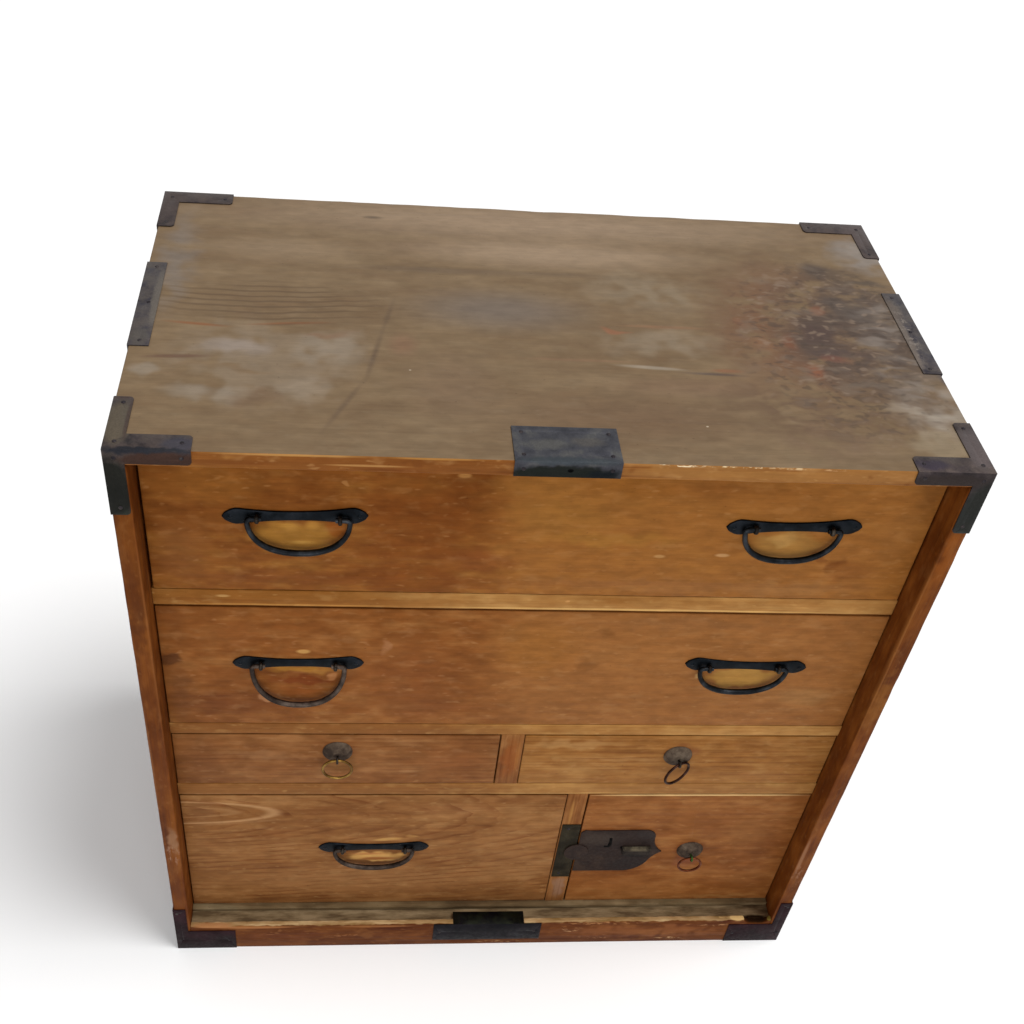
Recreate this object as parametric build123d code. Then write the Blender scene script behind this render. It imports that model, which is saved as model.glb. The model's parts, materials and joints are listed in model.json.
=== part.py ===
"""Isho clothing chest: a two and a half shaku wide case with six drawers, iron corner
fittings, bail handles, ring pulls, a sliding-bolt lock and side carrying handles.

Millimetres. X runs to the right seen from the front, Y to the back, Z up. The origin is
on the floor, under the centre of the case.
"""
import os
from collections import namedtuple
from math import atan2, degrees

from build123d import *

# ---- Case -------------------------------------------------------------------------
CASE_W = 756.0            # over the bare boards, left to right
CASE_D = 425.0            # over the bare boards, front to back
CASE_H = 789.0            # floor to the bare top
BOARD = 17.0              # top, sides and bottom
BACK_BOARD = 8.5
BACK_PLANKS = 4
PLANK_GAP = 0.4
EDGE_ROUND = 1.0          # softened arris of the boards and drawer fronts

LEFT_X, RIGHT_X = -CASE_W / 2, CASE_W / 2
FRONT_Y, BACK_Y = -CASE_D / 2, CASE_D / 2
INNER_X = RIGHT_X - BOARD
TOP_UNDERSIDE = CASE_H - BOARD
BACK_PANEL_Y = BACK_Y - BACK_BOARD

# ---- Front recess and sill --------------------------------------------------------
RECESS = 31.0             # drawer fronts sit this far behind the front edge
FACE_Y = FRONT_Y + RECESS
SILL_TOP = 48.0
LIP = 7.0                 # front wall of the groove
GROOVE = 17.5             # groove that the lift-out front panel stands in
GROOVE_DEPTH = 5.0
FOOT_RAIL_T = 17.0

# ---- Rails, shelves and dividers --------------------------------------------------
LOWER_RAIL = (275.0, 295.0)
MIDDLE_RAIL = (383.0, 400.0)
UPPER_RAIL = (577.0, 598.0)
RAIL_DEPTH = 40.0
SHELF_T = 9.0
UPPER_POST = (-12.5, 12.5)
LOWER_POST = (74.0, 97.0)

# ---- Drawers ----------------------------------------------------------------------
FRONT_T = 17.0
WALL_T = 9.0
BOTTOM_T = 7.0
DRAWER_BACK_Y = BACK_PANEL_Y - 6.0
SIDE_GAP = 0.8            # between a drawer and what is beside it
LOCK_SIDE_GAP = 2.0       # wider gap on the lock side
TOP_GAP = 1.8
LIFT = 0.3
WALL_DROP = 3.0           # the walls stop this far under the top of the front

# ---- Iron sheet and nails ---------------------------------------------------------
IRON = 1.0
ARM = 70.0                # length of the corner irons' arms
TOP_ARM_W = 20.0          # arm on the top along the front edge
EDGE_ARM_W = 16.0         # the other arms
END_ROUND = 4.0
FOOT_IRON_H = 88.0
FOOT_ARM_H = 39.0
FOOT_EDGE_W = 14.0
STRAP_Y = (-67.0, 73.0)
STRAP_W = 18.0
STRAP_DROP = 30.0
CENTRE_PLATE_X = (-43.0, 49.0)
CENTRE_PLATE_DEPTH = 46.0
CENTRE_PLATE_DROP = 16.0
SILL_PLATE_X = (-67.0, 67.0)
SILL_PLATE_FOOT = 12.0
SILL_FLANGE_X = (-43.0, 45.0)
SILL_FLANGE_DEPTH = 16.5
NAIL_INSET = 8.0
NAIL_HEAD_R = 1.7
NAIL_HEAD_H = 0.6
NAIL_R = 0.7
NAIL_LENGTH = 8.0

# ---- Bail handles -----------------------------------------------------------------
PLATE_T = 1.5
PLATE_HALF = 64.5
PLATE_WAIST = 5.2
PLATE_SHOULDER = 9.0
PLATE_SHOULDER_X = (46.0, 53.0)
PLATE_NAIL_X = 57.0
POST_X = 36.5
BAIL_HALF = 45.5          # centre line of the arms
BAIL_ROD_R = 2.3
BAIL_STRAIGHT = 6.0
BAIL_CORNER_R = 20.0
BAIL_BEND_R = 3.5
BAIL_PIN_END = 32.5
PIVOT_OUT = 6.0           # pivot in front of the drawer face
EYE_R = 4.6
EYE_HOLE_R = 2.6
EYE_T = 4.0
SHANK_R = 1.8
ROVE_R = 4.5
ROVE_T = 1.5
DRILL_PLAY = 0.15

Handle = namedtuple("Handle", "node x z depth")
TOP_HANDLES = (Handle("top_left_bail", -227.0, 694.0, 41.0),
               Handle("top_right_bail", 230.0, 694.0, 39.0))
SECOND_HANDLES = (Handle("second_left_bail", -227.0, 497.5, 59.0),
                  Handle("second_right_bail", 229.0, 500.0, 36.0))
LOWER_HANDLES = (Handle("lower_left_bail", -144.0, 172.0, 36.0),)

# ---- Ring pulls -------------------------------------------------------------------
ROSETTE_R = 16.0
ROSETTE_RIM = 1.0
ROSETTE_DOME = 5.0
RING_PIVOT_OUT = 12.5
RING_WIRE_R = 1.5
RING_EYE_R = 4.2
RING_EYE_HOLE_R = 2.6
RING_EYE_T = 2.4

Pull = namedtuple("Pull", "x z ring_r yaw")
LEFT_SMALL_PULL = Pull(-187.5, 353.5, 15.5, 0.0)
RIGHT_SMALL_PULL = Pull(187.0, 347.5, 16.0, 27.0)
LOCKING_PULL = Pull(238.0, 161.0, 13.5, 0.0)

# ---- Lock, in the plane of the drawer faces ---------------------------------------
LOCK_X = (99.0, 203.0)
LOCK_Z = (117.5, 204.0)
LOCK_T = 1.5
LOCK_TIP_Z = 159.0
TONGUE_CENTRE = (98.0, 157.0)
TONGUE_HALF = (14.5, 12.0)
TONGUE_T = 1.4
KEEPER_X = (75.0, 96.8)
KEEPER_Z = (105.0, 215.0)
KEEPER_T = 1.2
KEYHOLE_X = (130.5, 138.5)
KEYHOLE_Z = (169.0, 188.5)
KEYHOLE_SLOT = 3.2
BOLT_X = (99.4, 178.0)
BOLT_Z = 166.0
BOLT_H = 7.0
BOLT_T = 5.0
BOLT_BEHIND = 3.2         # front of the bolt behind the drawer face
BOLT_TRAVEL = 12.0
BOLT_PLAY = 0.6
NECK_X = 171.0
NECK_R = 2.0
KNOB_X = (153.0, 188.0)
KNOB_H = 10.0
KNOB_OUT = (1.9, 8.6)     # back and front of the knob, from the drawer face
KNOB_ROUND = 3.5

# ---- Carrying handles -------------------------------------------------------------
CARRY_PIVOT_Z = 722.0
CARRY_PIVOT_OUT = 11.0
CARRY_ROD_R = 4.0
CARRY_HALF = 60.0         # centre line of the arms
CARRY_DEPTH = 118.0
CARRY_STRAIGHT = 73.0
CARRY_CORNER_R = 22.0
CARRY_BEND_R = 6.0
CARRY_EYE_X = 47.0
CARRY_PIN_END = 40.0
CARRY_EYE_R = 8.5
CARRY_EYE_HOLE_R = 4.4
CARRY_EYE_T = 9.0
CARRY_SHANK_R = 3.0
CARRY_SHANK_IN = 13.0
ESCUTCHEON_R = 15.0
ESCUTCHEON_T = 1.2


# ---- Helpers ----------------------------------------------------------------------
def save(node, solids):
    """Write one node; several separate solids go into one file as a group."""
    shape = solids[0] if len(solids) == 1 else Compound(children=list(solids))
    export_step(shape, f"parts/{node}.step")


def block(x, y, z):
    """Rectangular block, each axis given as a (low, high) pair."""
    size = [high - low for low, high in (x, y, z)]
    middle = [(high + low) / 2 for low, high in (x, y, z)]
    return Pos(*middle) * Box(*size)


def face_plane(x, z):
    """Local frame on the drawer faces: x right, y up, z towards the front."""
    return Plane(origin=(x, FACE_Y, z), x_dir=(1, 0, 0), z_dir=(0, -1, 0))


def side_plane(sign):
    """Local frame on a side board at the height of the carrying pivots, z outwards."""
    return Plane(origin=(sign * RIGHT_X, 0, CARRY_PIVOT_Z), x_dir=(0, sign, 0), z_dir=(sign, 0, 0))


def rod_x(z, radius, length):
    """Cylinder along local x, at height z over the face."""
    return Pos(0, 0, z) * Rot(0, 90, 0) * Cylinder(radius, length)


def rod_z(z, radius):
    """Cylinder along local z between two heights over the face."""
    low, high = z
    return Pos(0, 0, (low + high) / 2) * Cylinder(radius, high - low)


def nail(thickness):
    """Round-headed nail through a sheet that lies on z = 0."""
    head = rod_z((thickness, thickness + NAIL_HEAD_H), NAIL_HEAD_R)
    head = fillet(head.edges().group_by(Axis.Z)[-1], NAIL_HEAD_H * 0.6)
    return head + rod_z((thickness - NAIL_LENGTH, thickness), NAIL_R)


def nail_hole():
    return rod_z((-NAIL_LENGTH, NAIL_LENGTH), NAIL_R)


# ---- Case boards ------------------------------------------------------------------
def make_case():
    across = (-INNER_X, INNER_X)
    depth = (FRONT_Y, BACK_Y)
    behind_sill = (FRONT_Y + LIP + GROOVE, BACK_PANEL_Y)
    top = block((LEFT_X, RIGHT_X), depth, (TOP_UNDERSIDE, CASE_H))
    save("top_board", [fillet(top.faces().sort_by(Axis.Z)[-1].edges(), EDGE_ROUND)])
    for name, x in (("left", (LEFT_X, -INNER_X)), ("right", (INNER_X, RIGHT_X))):
        board = block(x, depth, (0, TOP_UNDERSIDE))
        save(f"{name}_side_board", [fillet(board.edges().filter_by(Axis.Z), EDGE_ROUND)])
    save("bottom_board", [block(across, behind_sill, (SILL_TOP - BOARD, SILL_TOP))])
    foot_y = (BACK_PANEL_Y - FOOT_RAIL_T, BACK_PANEL_Y)
    save("back_foot_rail", [block(across, foot_y, (0, SILL_TOP - BOARD))])
    save("sill_rail", [make_sill_rail()])
    save("back_planks", make_back_planks())


def make_sill_rail():
    """Front foot rail with a raised lip in front of the groove, let in for the sill plate."""
    across = (-INNER_X, INNER_X)
    rail = block(across, (FRONT_Y, FRONT_Y + LIP + GROOVE), (0, SILL_TOP))
    groove_y = (FRONT_Y + LIP, FRONT_Y + LIP + GROOVE)
    rail -= block(across, groove_y, (SILL_TOP - GROOVE_DEPTH, SILL_TOP))
    return rail - sill_flange()


def make_back_planks():
    """Horizontal planks between the sides, one above the other from the floor up."""
    height = TOP_UNDERSIDE / BACK_PLANKS
    planks = []
    for i in range(BACK_PLANKS):
        z = (i * height + PLANK_GAP * (i > 0), (i + 1) * height)
        planks.append(block((-INNER_X, INNER_X), (BACK_PANEL_Y, BACK_Y), z))
    return planks


def make_rails():
    """Front rails between the rows of drawers, each with a thin shelf board behind it."""
    across = (-INNER_X, INNER_X)
    for name, (low, high) in (("lower", LOWER_RAIL), ("middle", MIDDLE_RAIL), ("upper", UPPER_RAIL)):
        save(f"{name}_rail", [block(across, (FACE_Y, FACE_Y + RAIL_DEPTH), (low, high))])
        save(f"{name}_shelf", [block(across, (FACE_Y + RAIL_DEPTH, BACK_PANEL_Y), (high - SHELF_T, high))])


def divider(post, floor, rail):
    """Full-depth board up to the rail, and behind the rail up to the shelf."""
    board = block(post, (FACE_Y, BACK_PANEL_Y), (floor, rail[0]))
    return board + block(post, (FACE_Y + RAIL_DEPTH, BACK_PANEL_Y), (rail[0], rail[1] - SHELF_T))


def make_dividers():
    """Dividers between side-by-side drawers; the lower one has the mortise of the bolt."""
    save("upper_divider", [divider(UPPER_POST, LOWER_RAIL[1], MIDDLE_RAIL)])
    mortise = bolt_way((BOLT_X[0] - BOLT_TRAVEL - 2.0, LOWER_POST[1]))
    save("lower_divider", [divider(LOWER_POST, SILL_TOP, LOWER_RAIL) - mortise])


def bolt_way(x):
    """Space that the bolt slides in, between two x values."""
    y = (FACE_Y + BOLT_BEHIND - BOLT_PLAY, FACE_Y + BOLT_BEHIND + BOLT_T + BOLT_PLAY)
    z = (BOLT_Z - BOLT_H / 2 - BOLT_PLAY, BOLT_Z + BOLT_H / 2 + BOLT_PLAY)
    return block(x, y, z)


# ---- Iron fittings on the case ----------------------------------------------------
def drive(sheet, spots, thickness=IRON):
    """Drill the sheet at each (point on the wood, outward normal) and make the nails."""
    nails = []
    for point, normal in spots:
        place = Plane(origin=point, z_dir=normal).location
        sheet -= place * nail_hole()
        nails.append(place * nail(thickness))
    return sheet, nails


def round_ends(iron, corner):
    """Round the free corners of a corner iron's arms, and leave its inner corners sharp."""
    def is_end(edge):
        away = edge.center() - corner
        return edge.length < 1.01 * IRON and max(abs(away.X), abs(away.Y), abs(away.Z)) > 0.9 * ARM
    return fillet([edge for edge in iron.edges() if is_end(edge)], END_ROUND)


def top_corner_iron():
    """Front left corner iron: three arms along the edges, bent from one sheet."""
    far_x, far_y, far_z = LEFT_X + ARM, FRONT_Y + ARM, CASE_H - ARM
    shell = block((LEFT_X - IRON, far_x), (FRONT_Y - IRON, far_y), (far_z, CASE_H + IRON))
    shell -= block((LEFT_X, far_x), (FRONT_Y, far_y), (far_z, CASE_H))
    side_x, edge_z = LEFT_X + EDGE_ARM_W, CASE_H - EDGE_ARM_W + 2.0
    shell -= block((side_x, far_x), (FRONT_Y + TOP_ARM_W, far_y), (CASE_H, CASE_H + IRON))
    shell -= block((side_x, far_x), (FRONT_Y - IRON, FRONT_Y), (far_z, edge_z))
    shell -= block((LEFT_X - IRON, LEFT_X), (FRONT_Y + EDGE_ARM_W, far_y), (far_z, edge_z))
    iron = round_ends(shell, Vector(LEFT_X, FRONT_Y, CASE_H))
    near, end = NAIL_INSET, ARM - NAIL_INSET
    up, front, left = (0, 0, 1), (0, -1, 0), (-1, 0, 0)
    spots = [((LEFT_X + near, FRONT_Y + 10.0, CASE_H), up), ((LEFT_X + end, FRONT_Y + 10.0, CASE_H), up),
             ((LEFT_X + near, FRONT_Y + end, CASE_H), up),
             ((LEFT_X + near, FRONT_Y, CASE_H - near), front), ((LEFT_X + end, FRONT_Y, CASE_H - 7.0), front),
             ((LEFT_X + near, FRONT_Y, CASE_H - end), front),
             ((LEFT_X, FRONT_Y + near, CASE_H - near), left), ((LEFT_X, FRONT_Y + end, CASE_H - 7.0), left),
             ((LEFT_X, FRONT_Y + near, CASE_H - end), left)]
    return drive(iron, spots)


def foot_iron():
    """Bottom front left iron: an angle over the front and the side, open underneath."""
    far_x, far_y = LEFT_X + ARM, FRONT_Y + ARM
    shell = block((LEFT_X - IRON, far_x), (FRONT_Y - IRON, far_y), (0, FOOT_IRON_H))
    shell -= block((LEFT_X, far_x), (FRONT_Y, far_y), (0, FOOT_IRON_H))
    above = (FOOT_ARM_H, FOOT_IRON_H)
    shell -= block((LEFT_X + FOOT_EDGE_W, far_x), (FRONT_Y - IRON, FRONT_Y), above)
    shell -= block((LEFT_X - IRON, LEFT_X), (FRONT_Y + FOOT_EDGE_W, far_y), above)
    near, end = NAIL_INSET - 1.0, ARM - NAIL_INSET
    high, low = FOOT_IRON_H - NAIL_INSET, FOOT_ARM_H / 2
    front, left = (0, -1, 0), (-1, 0, 0)
    spots = [((LEFT_X + near, FRONT_Y, high), front), ((LEFT_X + near, FRONT_Y, low), front),
             ((LEFT_X + end, FRONT_Y, low), front),
             ((LEFT_X, FRONT_Y + near, high), left), ((LEFT_X, FRONT_Y + near, low), left),
             ((LEFT_X, FRONT_Y + end, low), left)]
    return drive(shell, spots)


def edge_strap():
    """Strap over the left edge of the top, where the raised carrying handle bears."""
    strap = block((LEFT_X - IRON, LEFT_X + STRAP_W), STRAP_Y, (CASE_H - STRAP_DROP, CASE_H + IRON))
    strap -= block((LEFT_X, LEFT_X + STRAP_W), STRAP_Y, (CASE_H - STRAP_DROP, CASE_H))
    spots = []
    for y in (STRAP_Y[0] + NAIL_INSET, sum(STRAP_Y) / 2, STRAP_Y[1] - NAIL_INSET):
        spots.append(((LEFT_X + STRAP_W / 2, y, CASE_H), (0, 0, 1)))
        spots.append(((LEFT_X, y, CASE_H - STRAP_DROP + NAIL_INSET), (-1, 0, 0)))
    return drive(strap, spots)


def centre_plate():
    """Plate over the middle of the top's front edge, where the front panel locked."""
    far_y, foot = FRONT_Y + CENTRE_PLATE_DEPTH, CASE_H - CENTRE_PLATE_DROP
    plate = block(CENTRE_PLATE_X, (FRONT_Y - IRON, far_y), (foot, CASE_H + IRON))
    plate -= block(CENTRE_PLATE_X, (FRONT_Y, far_y), (foot, CASE_H))
    spots = []
    for x in (CENTRE_PLATE_X[0] + NAIL_INSET, CENTRE_PLATE_X[1] - NAIL_INSET):
        spots.append(((x, FRONT_Y + NAIL_INSET, CASE_H), (0, 0, 1)))
        spots.append(((x, far_y - NAIL_INSET, CASE_H), (0, 0, 1)))
        spots.append(((x, FRONT_Y, foot + NAIL_INSET), (0, -1, 0)))
    return drive(plate, spots)


def sill_flange():
    """Top flange of the sill plate, flush with the lip and reaching over the groove."""
    return block(SILL_FLANGE_X, (FRONT_Y - IRON, FRONT_Y + SILL_FLANGE_DEPTH), (SILL_TOP - IRON, SILL_TOP))


def sill_plate():
    """Plate on the middle of the sill's front, with its flange over the lip."""
    plate = block(SILL_PLATE_X, (FRONT_Y - IRON, FRONT_Y), (SILL_PLATE_FOOT, SILL_TOP)) + sill_flange()
    middle = (SILL_PLATE_FOOT + SILL_TOP) / 2
    spots = [((x, FRONT_Y, middle), (0, -1, 0))
             for x in (SILL_PLATE_X[0] + NAIL_INSET, SILL_PLATE_X[1] - NAIL_INSET)]
    return drive(plate, spots)


def keeper():
    """Plate on the front of the lower divider, beside the lock."""
    plate = face_plane(0, 0).location * block(KEEPER_X, KEEPER_Z, (0, KEEPER_T))
    spots = []
    for z in (KEEPER_Z[0] + NAIL_INSET, KEEPER_Z[1] - NAIL_INSET):
        spots.append(((KEEPER_X[0] + NAIL_INSET, FACE_Y, z), (0, -1, 0)))
    return drive(plate, spots, KEEPER_T)


def mirrored(solids, plane):
    return [mirror(solid, about=plane) for solid in solids]


def make_irons():
    """All the sheet fittings of the case, and all their nails as one node."""
    corner, corner_nails = top_corner_iron()
    corners = [corner, mirror(corner, about=Plane.YZ)]
    nails = corner_nails + mirrored(corner_nails, Plane.YZ)
    save("top_front_corner_irons", corners)
    save("top_back_corner_irons", mirrored(corners, Plane.XZ))
    nails += mirrored(nails, Plane.XZ)
    for name, make in (("foot_corner_irons", foot_iron), ("top_edge_straps", edge_strap)):
        iron, iron_nails = make()
        save(name, [iron, mirror(iron, about=Plane.YZ)])
        nails += iron_nails + mirrored(iron_nails, Plane.YZ)
    for name, make in (("top_centre_plate", centre_plate), ("sill_plate", sill_plate), ("keeper_plate", keeper)):
        iron, iron_nails = make()
        save(name, [iron])
        nails += iron_nails
    save("iron_nails", nails)


# ---- Drawers ----------------------------------------------------------------------
Bay = namedtuple("Bay", "left right floor ceiling")
WIDE = (-INNER_X + SIDE_GAP, INNER_X - SIDE_GAP)
BAYS = {
    "top_drawer": Bay(*WIDE, UPPER_RAIL[1], TOP_UNDERSIDE),
    "second_drawer": Bay(*WIDE, MIDDLE_RAIL[1], UPPER_RAIL[0]),
    "left_small_drawer": Bay(WIDE[0], UPPER_POST[0] - SIDE_GAP, LOWER_RAIL[1], MIDDLE_RAIL[0]),
    "right_small_drawer": Bay(UPPER_POST[1] + SIDE_GAP, WIDE[1], LOWER_RAIL[1], MIDDLE_RAIL[0]),
    "lower_left_drawer": Bay(WIDE[0], LOWER_POST[0] - SIDE_GAP, SILL_TOP, LOWER_RAIL[0]),
    "locking_drawer": Bay(LOWER_POST[1] + LOCK_SIDE_GAP, WIDE[1], SILL_TOP, LOWER_RAIL[0]),
}


def make_drawer(name, drill_spots, cutters=()):
    """Front drilled for its hardware, two sides and a back, and a bottom board under them."""
    bay = BAYS[name]
    across = (bay.left, bay.right)
    floor = bay.floor + LIFT
    ceiling = bay.ceiling - TOP_GAP
    back_of_front = FACE_Y + FRONT_T
    front = block(across, (FACE_Y, back_of_front), (floor, ceiling))
    front = fillet(front.faces().sort_by(Axis.Y)[0].edges(), EDGE_ROUND)
    for x, z in drill_spots:
        front -= face_plane(x, z).location * rod_z((-2 * FRONT_T, FRONT_T), SHANK_R + DRILL_PLAY)
    for cutter in cutters:
        front -= cutter
    upright = (floor + BOTTOM_T, ceiling - WALL_DROP)
    run = (back_of_front, DRAWER_BACK_Y)
    left_wall = block((bay.left, bay.left + WALL_T), run, upright)
    right_wall = block((bay.right - WALL_T, bay.right), run, upright)
    back_wall = block((bay.left + WALL_T, bay.right - WALL_T), (DRAWER_BACK_Y - WALL_T, DRAWER_BACK_Y), upright)
    save(f"{name}_front", [front])
    save(f"{name}_walls", [left_wall, right_wall, back_wall])
    save(f"{name}_bottom", [block(across, run, (floor, floor + BOTTOM_T))])


# ---- Bail handles -----------------------------------------------------------------
def bail_plate():
    """Long backplate: narrow waist, flared shoulders and pointed ends."""
    inner, outer = PLATE_SHOULDER_X
    with BuildSketch() as outline:
        with BuildLine():
            ThreePointArc((0, PLATE_WAIST), (inner * 0.6, PLATE_WAIST + 1.1), (inner, PLATE_SHOULDER))
            Line((inner, PLATE_SHOULDER), (outer, PLATE_SHOULDER - 0.8))
            ThreePointArc((outer, PLATE_SHOULDER - 0.8), (outer + 5.5, 3.4), (PLATE_HALF, 0))
            mirror(about=Plane.XZ)
            mirror(about=Plane.YZ)
        make_face()
    return extrude(outline.sketch, PLATE_T)


def eye_post(pivot_out, eye_r, hole_r, width, shank_r, inside):
    """Eye in front of the face, and its shank into the wood behind it."""
    post = rod_x(pivot_out, eye_r, width) + rod_z((-inside, pivot_out - hole_r), shank_r)
    return post - rod_x(pivot_out, hole_r, 2 * width)


def clinched_post(pivot_out, eye_r, hole_r, width):
    """Eye post through a drawer front, clinched over a rove on the inside."""
    post = eye_post(pivot_out, eye_r, hole_r, width, SHANK_R, FRONT_T)
    return post + rod_z((-FRONT_T - ROVE_T, -FRONT_T), ROVE_R)


def shank_hole():
    return rod_z((-FRONT_T, FRONT_T), SHANK_R + DRILL_PLAY)


def handle_mount(handle):
    """Backplate, its two nails and the two posts of one bail, on the drawer face."""
    plate = bail_plate()
    fixings = []
    for sign in (-1, 1):
        post_place, nail_place = Pos(sign * POST_X, 0, 0), Pos(sign * PLATE_NAIL_X, 0, 0)
        plate -= post_place * shank_hole()
        plate -= nail_place * nail_hole()
        fixings.append(post_place * clinched_post(PIVOT_OUT, EYE_R, EYE_HOLE_R, EYE_T))
        fixings.append(nail_place * nail(PLATE_T))
    place = face_plane(handle.x, handle.z).location
    return [place * solid for solid in [plate] + fixings]


def bent_rod(half, depth, rod_r, corner_r, bend_r, pin_end, straight, out):
    """Bail: a pin, an arm, a three-centred curve, an arm and a pin, hanging at height out."""
    drop = depth - straight
    reach = half - corner_r
    bottom_r = (reach ** 2 + drop ** 2 - corner_r ** 2) / (2 * (drop - corner_r))
    turn = degrees(atan2(bottom_r - drop, reach))
    with BuildLine() as path:
        pin = Line((-pin_end, 0), (-half + bend_r, 0))
        bend = JernArc(pin @ 1, pin % 1, bend_r, 90)
        arm = Line(bend @ 1, (-half, -straight))
        corner = JernArc(arm @ 1, arm % 1, corner_r, turn)
        bottom = JernArc(corner @ 1, corner % 1, bottom_r, 180 - 2 * turn)
        corner = JernArc(bottom @ 1, bottom % 1, corner_r, turn)
        arm = Line(corner @ 1, (half, -bend_r))
        bend = JernArc(arm @ 1, arm % 1, bend_r, 90)
        Line(bend @ 1, (pin_end, 0))
    section = Plane(origin=(-pin_end, 0, 0), z_dir=(-1, 0, 0)) * Circle(rod_r)
    return Pos(0, 0, out) * sweep(section, path=path.line)


def make_bails(name, handles):
    """The fixed mounts of one drawer's handles as one node, and a node for each bail."""
    save(f"{name}_handle_mounts", [solid for handle in handles for solid in handle_mount(handle)])
    for handle in handles:
        straight = max(BAIL_STRAIGHT, handle.depth - BAIL_HALF + 2.0)
        rod = bent_rod(BAIL_HALF, handle.depth, BAIL_ROD_R, BAIL_CORNER_R, BAIL_BEND_R, BAIL_PIN_END,
                       straight, PIVOT_OUT)
        save(handle.node, [face_plane(handle.x, handle.z).location * rod])


def post_spots(handles):
    """Where the drawer front is drilled for the posts of its bails."""
    return [(handle.x + sign * POST_X, handle.z) for handle in handles for sign in (-1, 1)]


# ---- Ring pulls -------------------------------------------------------------------
def rosette():
    """Domed round backplate with a hole for the shank of the eye."""
    top = ROSETTE_RIM + ROSETTE_DOME
    with BuildSketch(Plane.XZ) as profile:
        with BuildLine():
            Polyline((0, top), (0, 0), (ROSETTE_R, 0), (ROSETTE_R, ROSETTE_RIM))
            ThreePointArc((ROSETTE_R, ROSETTE_RIM), (ROSETTE_R * 0.6, ROSETTE_RIM + ROSETTE_DOME * 0.66), (0, top))
        make_face()
    return revolve(profile.sketch, axis=Axis.Z) - shank_hole()


def make_ring_pull(name, pull):
    """Rosette and eye as the mount, and the free ring that hangs through the eye."""
    place = face_plane(pull.x, pull.z).location
    eye = clinched_post(RING_PIVOT_OUT, RING_EYE_R, RING_EYE_HOLE_R, RING_EYE_T)
    hang = Pos(0, 0, RING_PIVOT_OUT) * Rot(0, pull.yaw, 0) * Pos(0, -pull.ring_r, 0)
    save(f"{name}_ring_mount", [place * rosette(), place * eye])
    save(f"{name}_ring", [place * hang * Torus(pull.ring_r, RING_WIRE_R)])


# ---- Lock -------------------------------------------------------------------------
def slot_x():
    """Ends of the slot that the knob's neck slides in."""
    return (NECK_X - BOLT_TRAVEL - NECK_R - BOLT_PLAY, NECK_X + NECK_R + BOLT_PLAY)


def lock_plate():
    """Plate with a shaped point on the right, a hooked keyhole and the neck's slot."""
    left, tip = LOCK_X
    foot, head = LOCK_Z
    with BuildSketch() as outline:
        with BuildLine():
            Polyline((160.0, foot), (left, foot), (left, head - 6.0), (left + 5.0, head), (183.0, head))
            ThreePointArc((183.0, head), (190.0, 198.0), (192.0, 187.0))
            ThreePointArc((192.0, 187.0), (194.5, 170.0), (tip, LOCK_TIP_Z))
            ThreePointArc((tip, LOCK_TIP_Z), (192.0, 150.0), (184.0, 139.0))
            ThreePointArc((184.0, 139.0), (174.0, 125.5), (160.0, foot))
        make_face()
    plate = extrude(outline.sketch, LOCK_T)
    through = (-LOCK_T, 2 * LOCK_T)
    right = (KEYHOLE_X[1] - KEYHOLE_SLOT, KEYHOLE_X[1])
    plate -= block(right, KEYHOLE_Z, through)
    plate -= block(KEYHOLE_X, (KEYHOLE_Z[0], KEYHOLE_Z[0] + KEYHOLE_SLOT), through)
    return plate - block(slot_x(), (BOLT_Z - NECK_R - BOLT_PLAY, BOLT_Z + NECK_R + BOLT_PLAY), through)


def lock_bolt():
    """Bolt behind the plate, its neck through the slot and the half-round knob."""
    middle_z = (BOLT_Z - BOLT_H / 2, BOLT_Z + BOLT_H / 2)
    bar = block(BOLT_X, middle_z, (-BOLT_BEHIND - BOLT_T, -BOLT_BEHIND))
    neck = Pos(NECK_X, BOLT_Z, 0) * rod_z((-BOLT_BEHIND, KNOB_OUT[0]), NECK_R)
    knob = block(KNOB_X, (BOLT_Z - KNOB_H / 2, BOLT_Z + KNOB_H / 2), KNOB_OUT)
    knob = fillet(knob.faces().sort_by(Axis.Z)[-1].edges(), KNOB_ROUND)
    return bar + neck + knob


def make_lock():
    place = face_plane(0, 0).location
    tongue = Pos(*TONGUE_CENTRE, LOCK_T) * extrude(Ellipse(*TONGUE_HALF), TONGUE_T)
    save("lock_plate", [place * lock_plate(), place * tongue])
    save("lock_bolt", [place * lock_bolt()])


def lock_cutters():
    """What the lock takes out of the locking drawer's front."""
    bolt_space = bolt_way((BAYS["locking_drawer"].left, BOLT_X[1] + BOLT_PLAY))
    neck_space = block(slot_x(), (FACE_Y, FACE_Y + BOLT_BEHIND),
                       (BOLT_Z - NECK_R - BOLT_PLAY, BOLT_Z + NECK_R + BOLT_PLAY))
    return [bolt_space, neck_space]


# ---- Carrying handles -------------------------------------------------------------
def make_carrying_handles():
    """A heavy bail on each side, in two eyes on round plates, that swings up over the top."""
    mounts = []
    for name, sign in (("left", -1), ("right", 1)):
        place = side_plane(sign).location
        for end in (-1, 1):
            spot = place * Pos(end * CARRY_EYE_X, 0, 0)
            disc = rod_z((0, ESCUTCHEON_T), ESCUTCHEON_R) - rod_z((-1.0, 2.0), CARRY_SHANK_R + DRILL_PLAY)
            eye = eye_post(CARRY_PIVOT_OUT, CARRY_EYE_R, CARRY_EYE_HOLE_R, CARRY_EYE_T, CARRY_SHANK_R,
                           CARRY_SHANK_IN)
            mounts += [spot * disc, spot * eye]
        rod = bent_rod(CARRY_HALF, CARRY_DEPTH, CARRY_ROD_R, CARRY_CORNER_R, CARRY_BEND_R, CARRY_PIN_END,
                       CARRY_STRAIGHT, CARRY_PIVOT_OUT)
        save(f"{name}_carrying_handle", [place * rod])
    save("carrying_handle_mounts", mounts)


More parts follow.
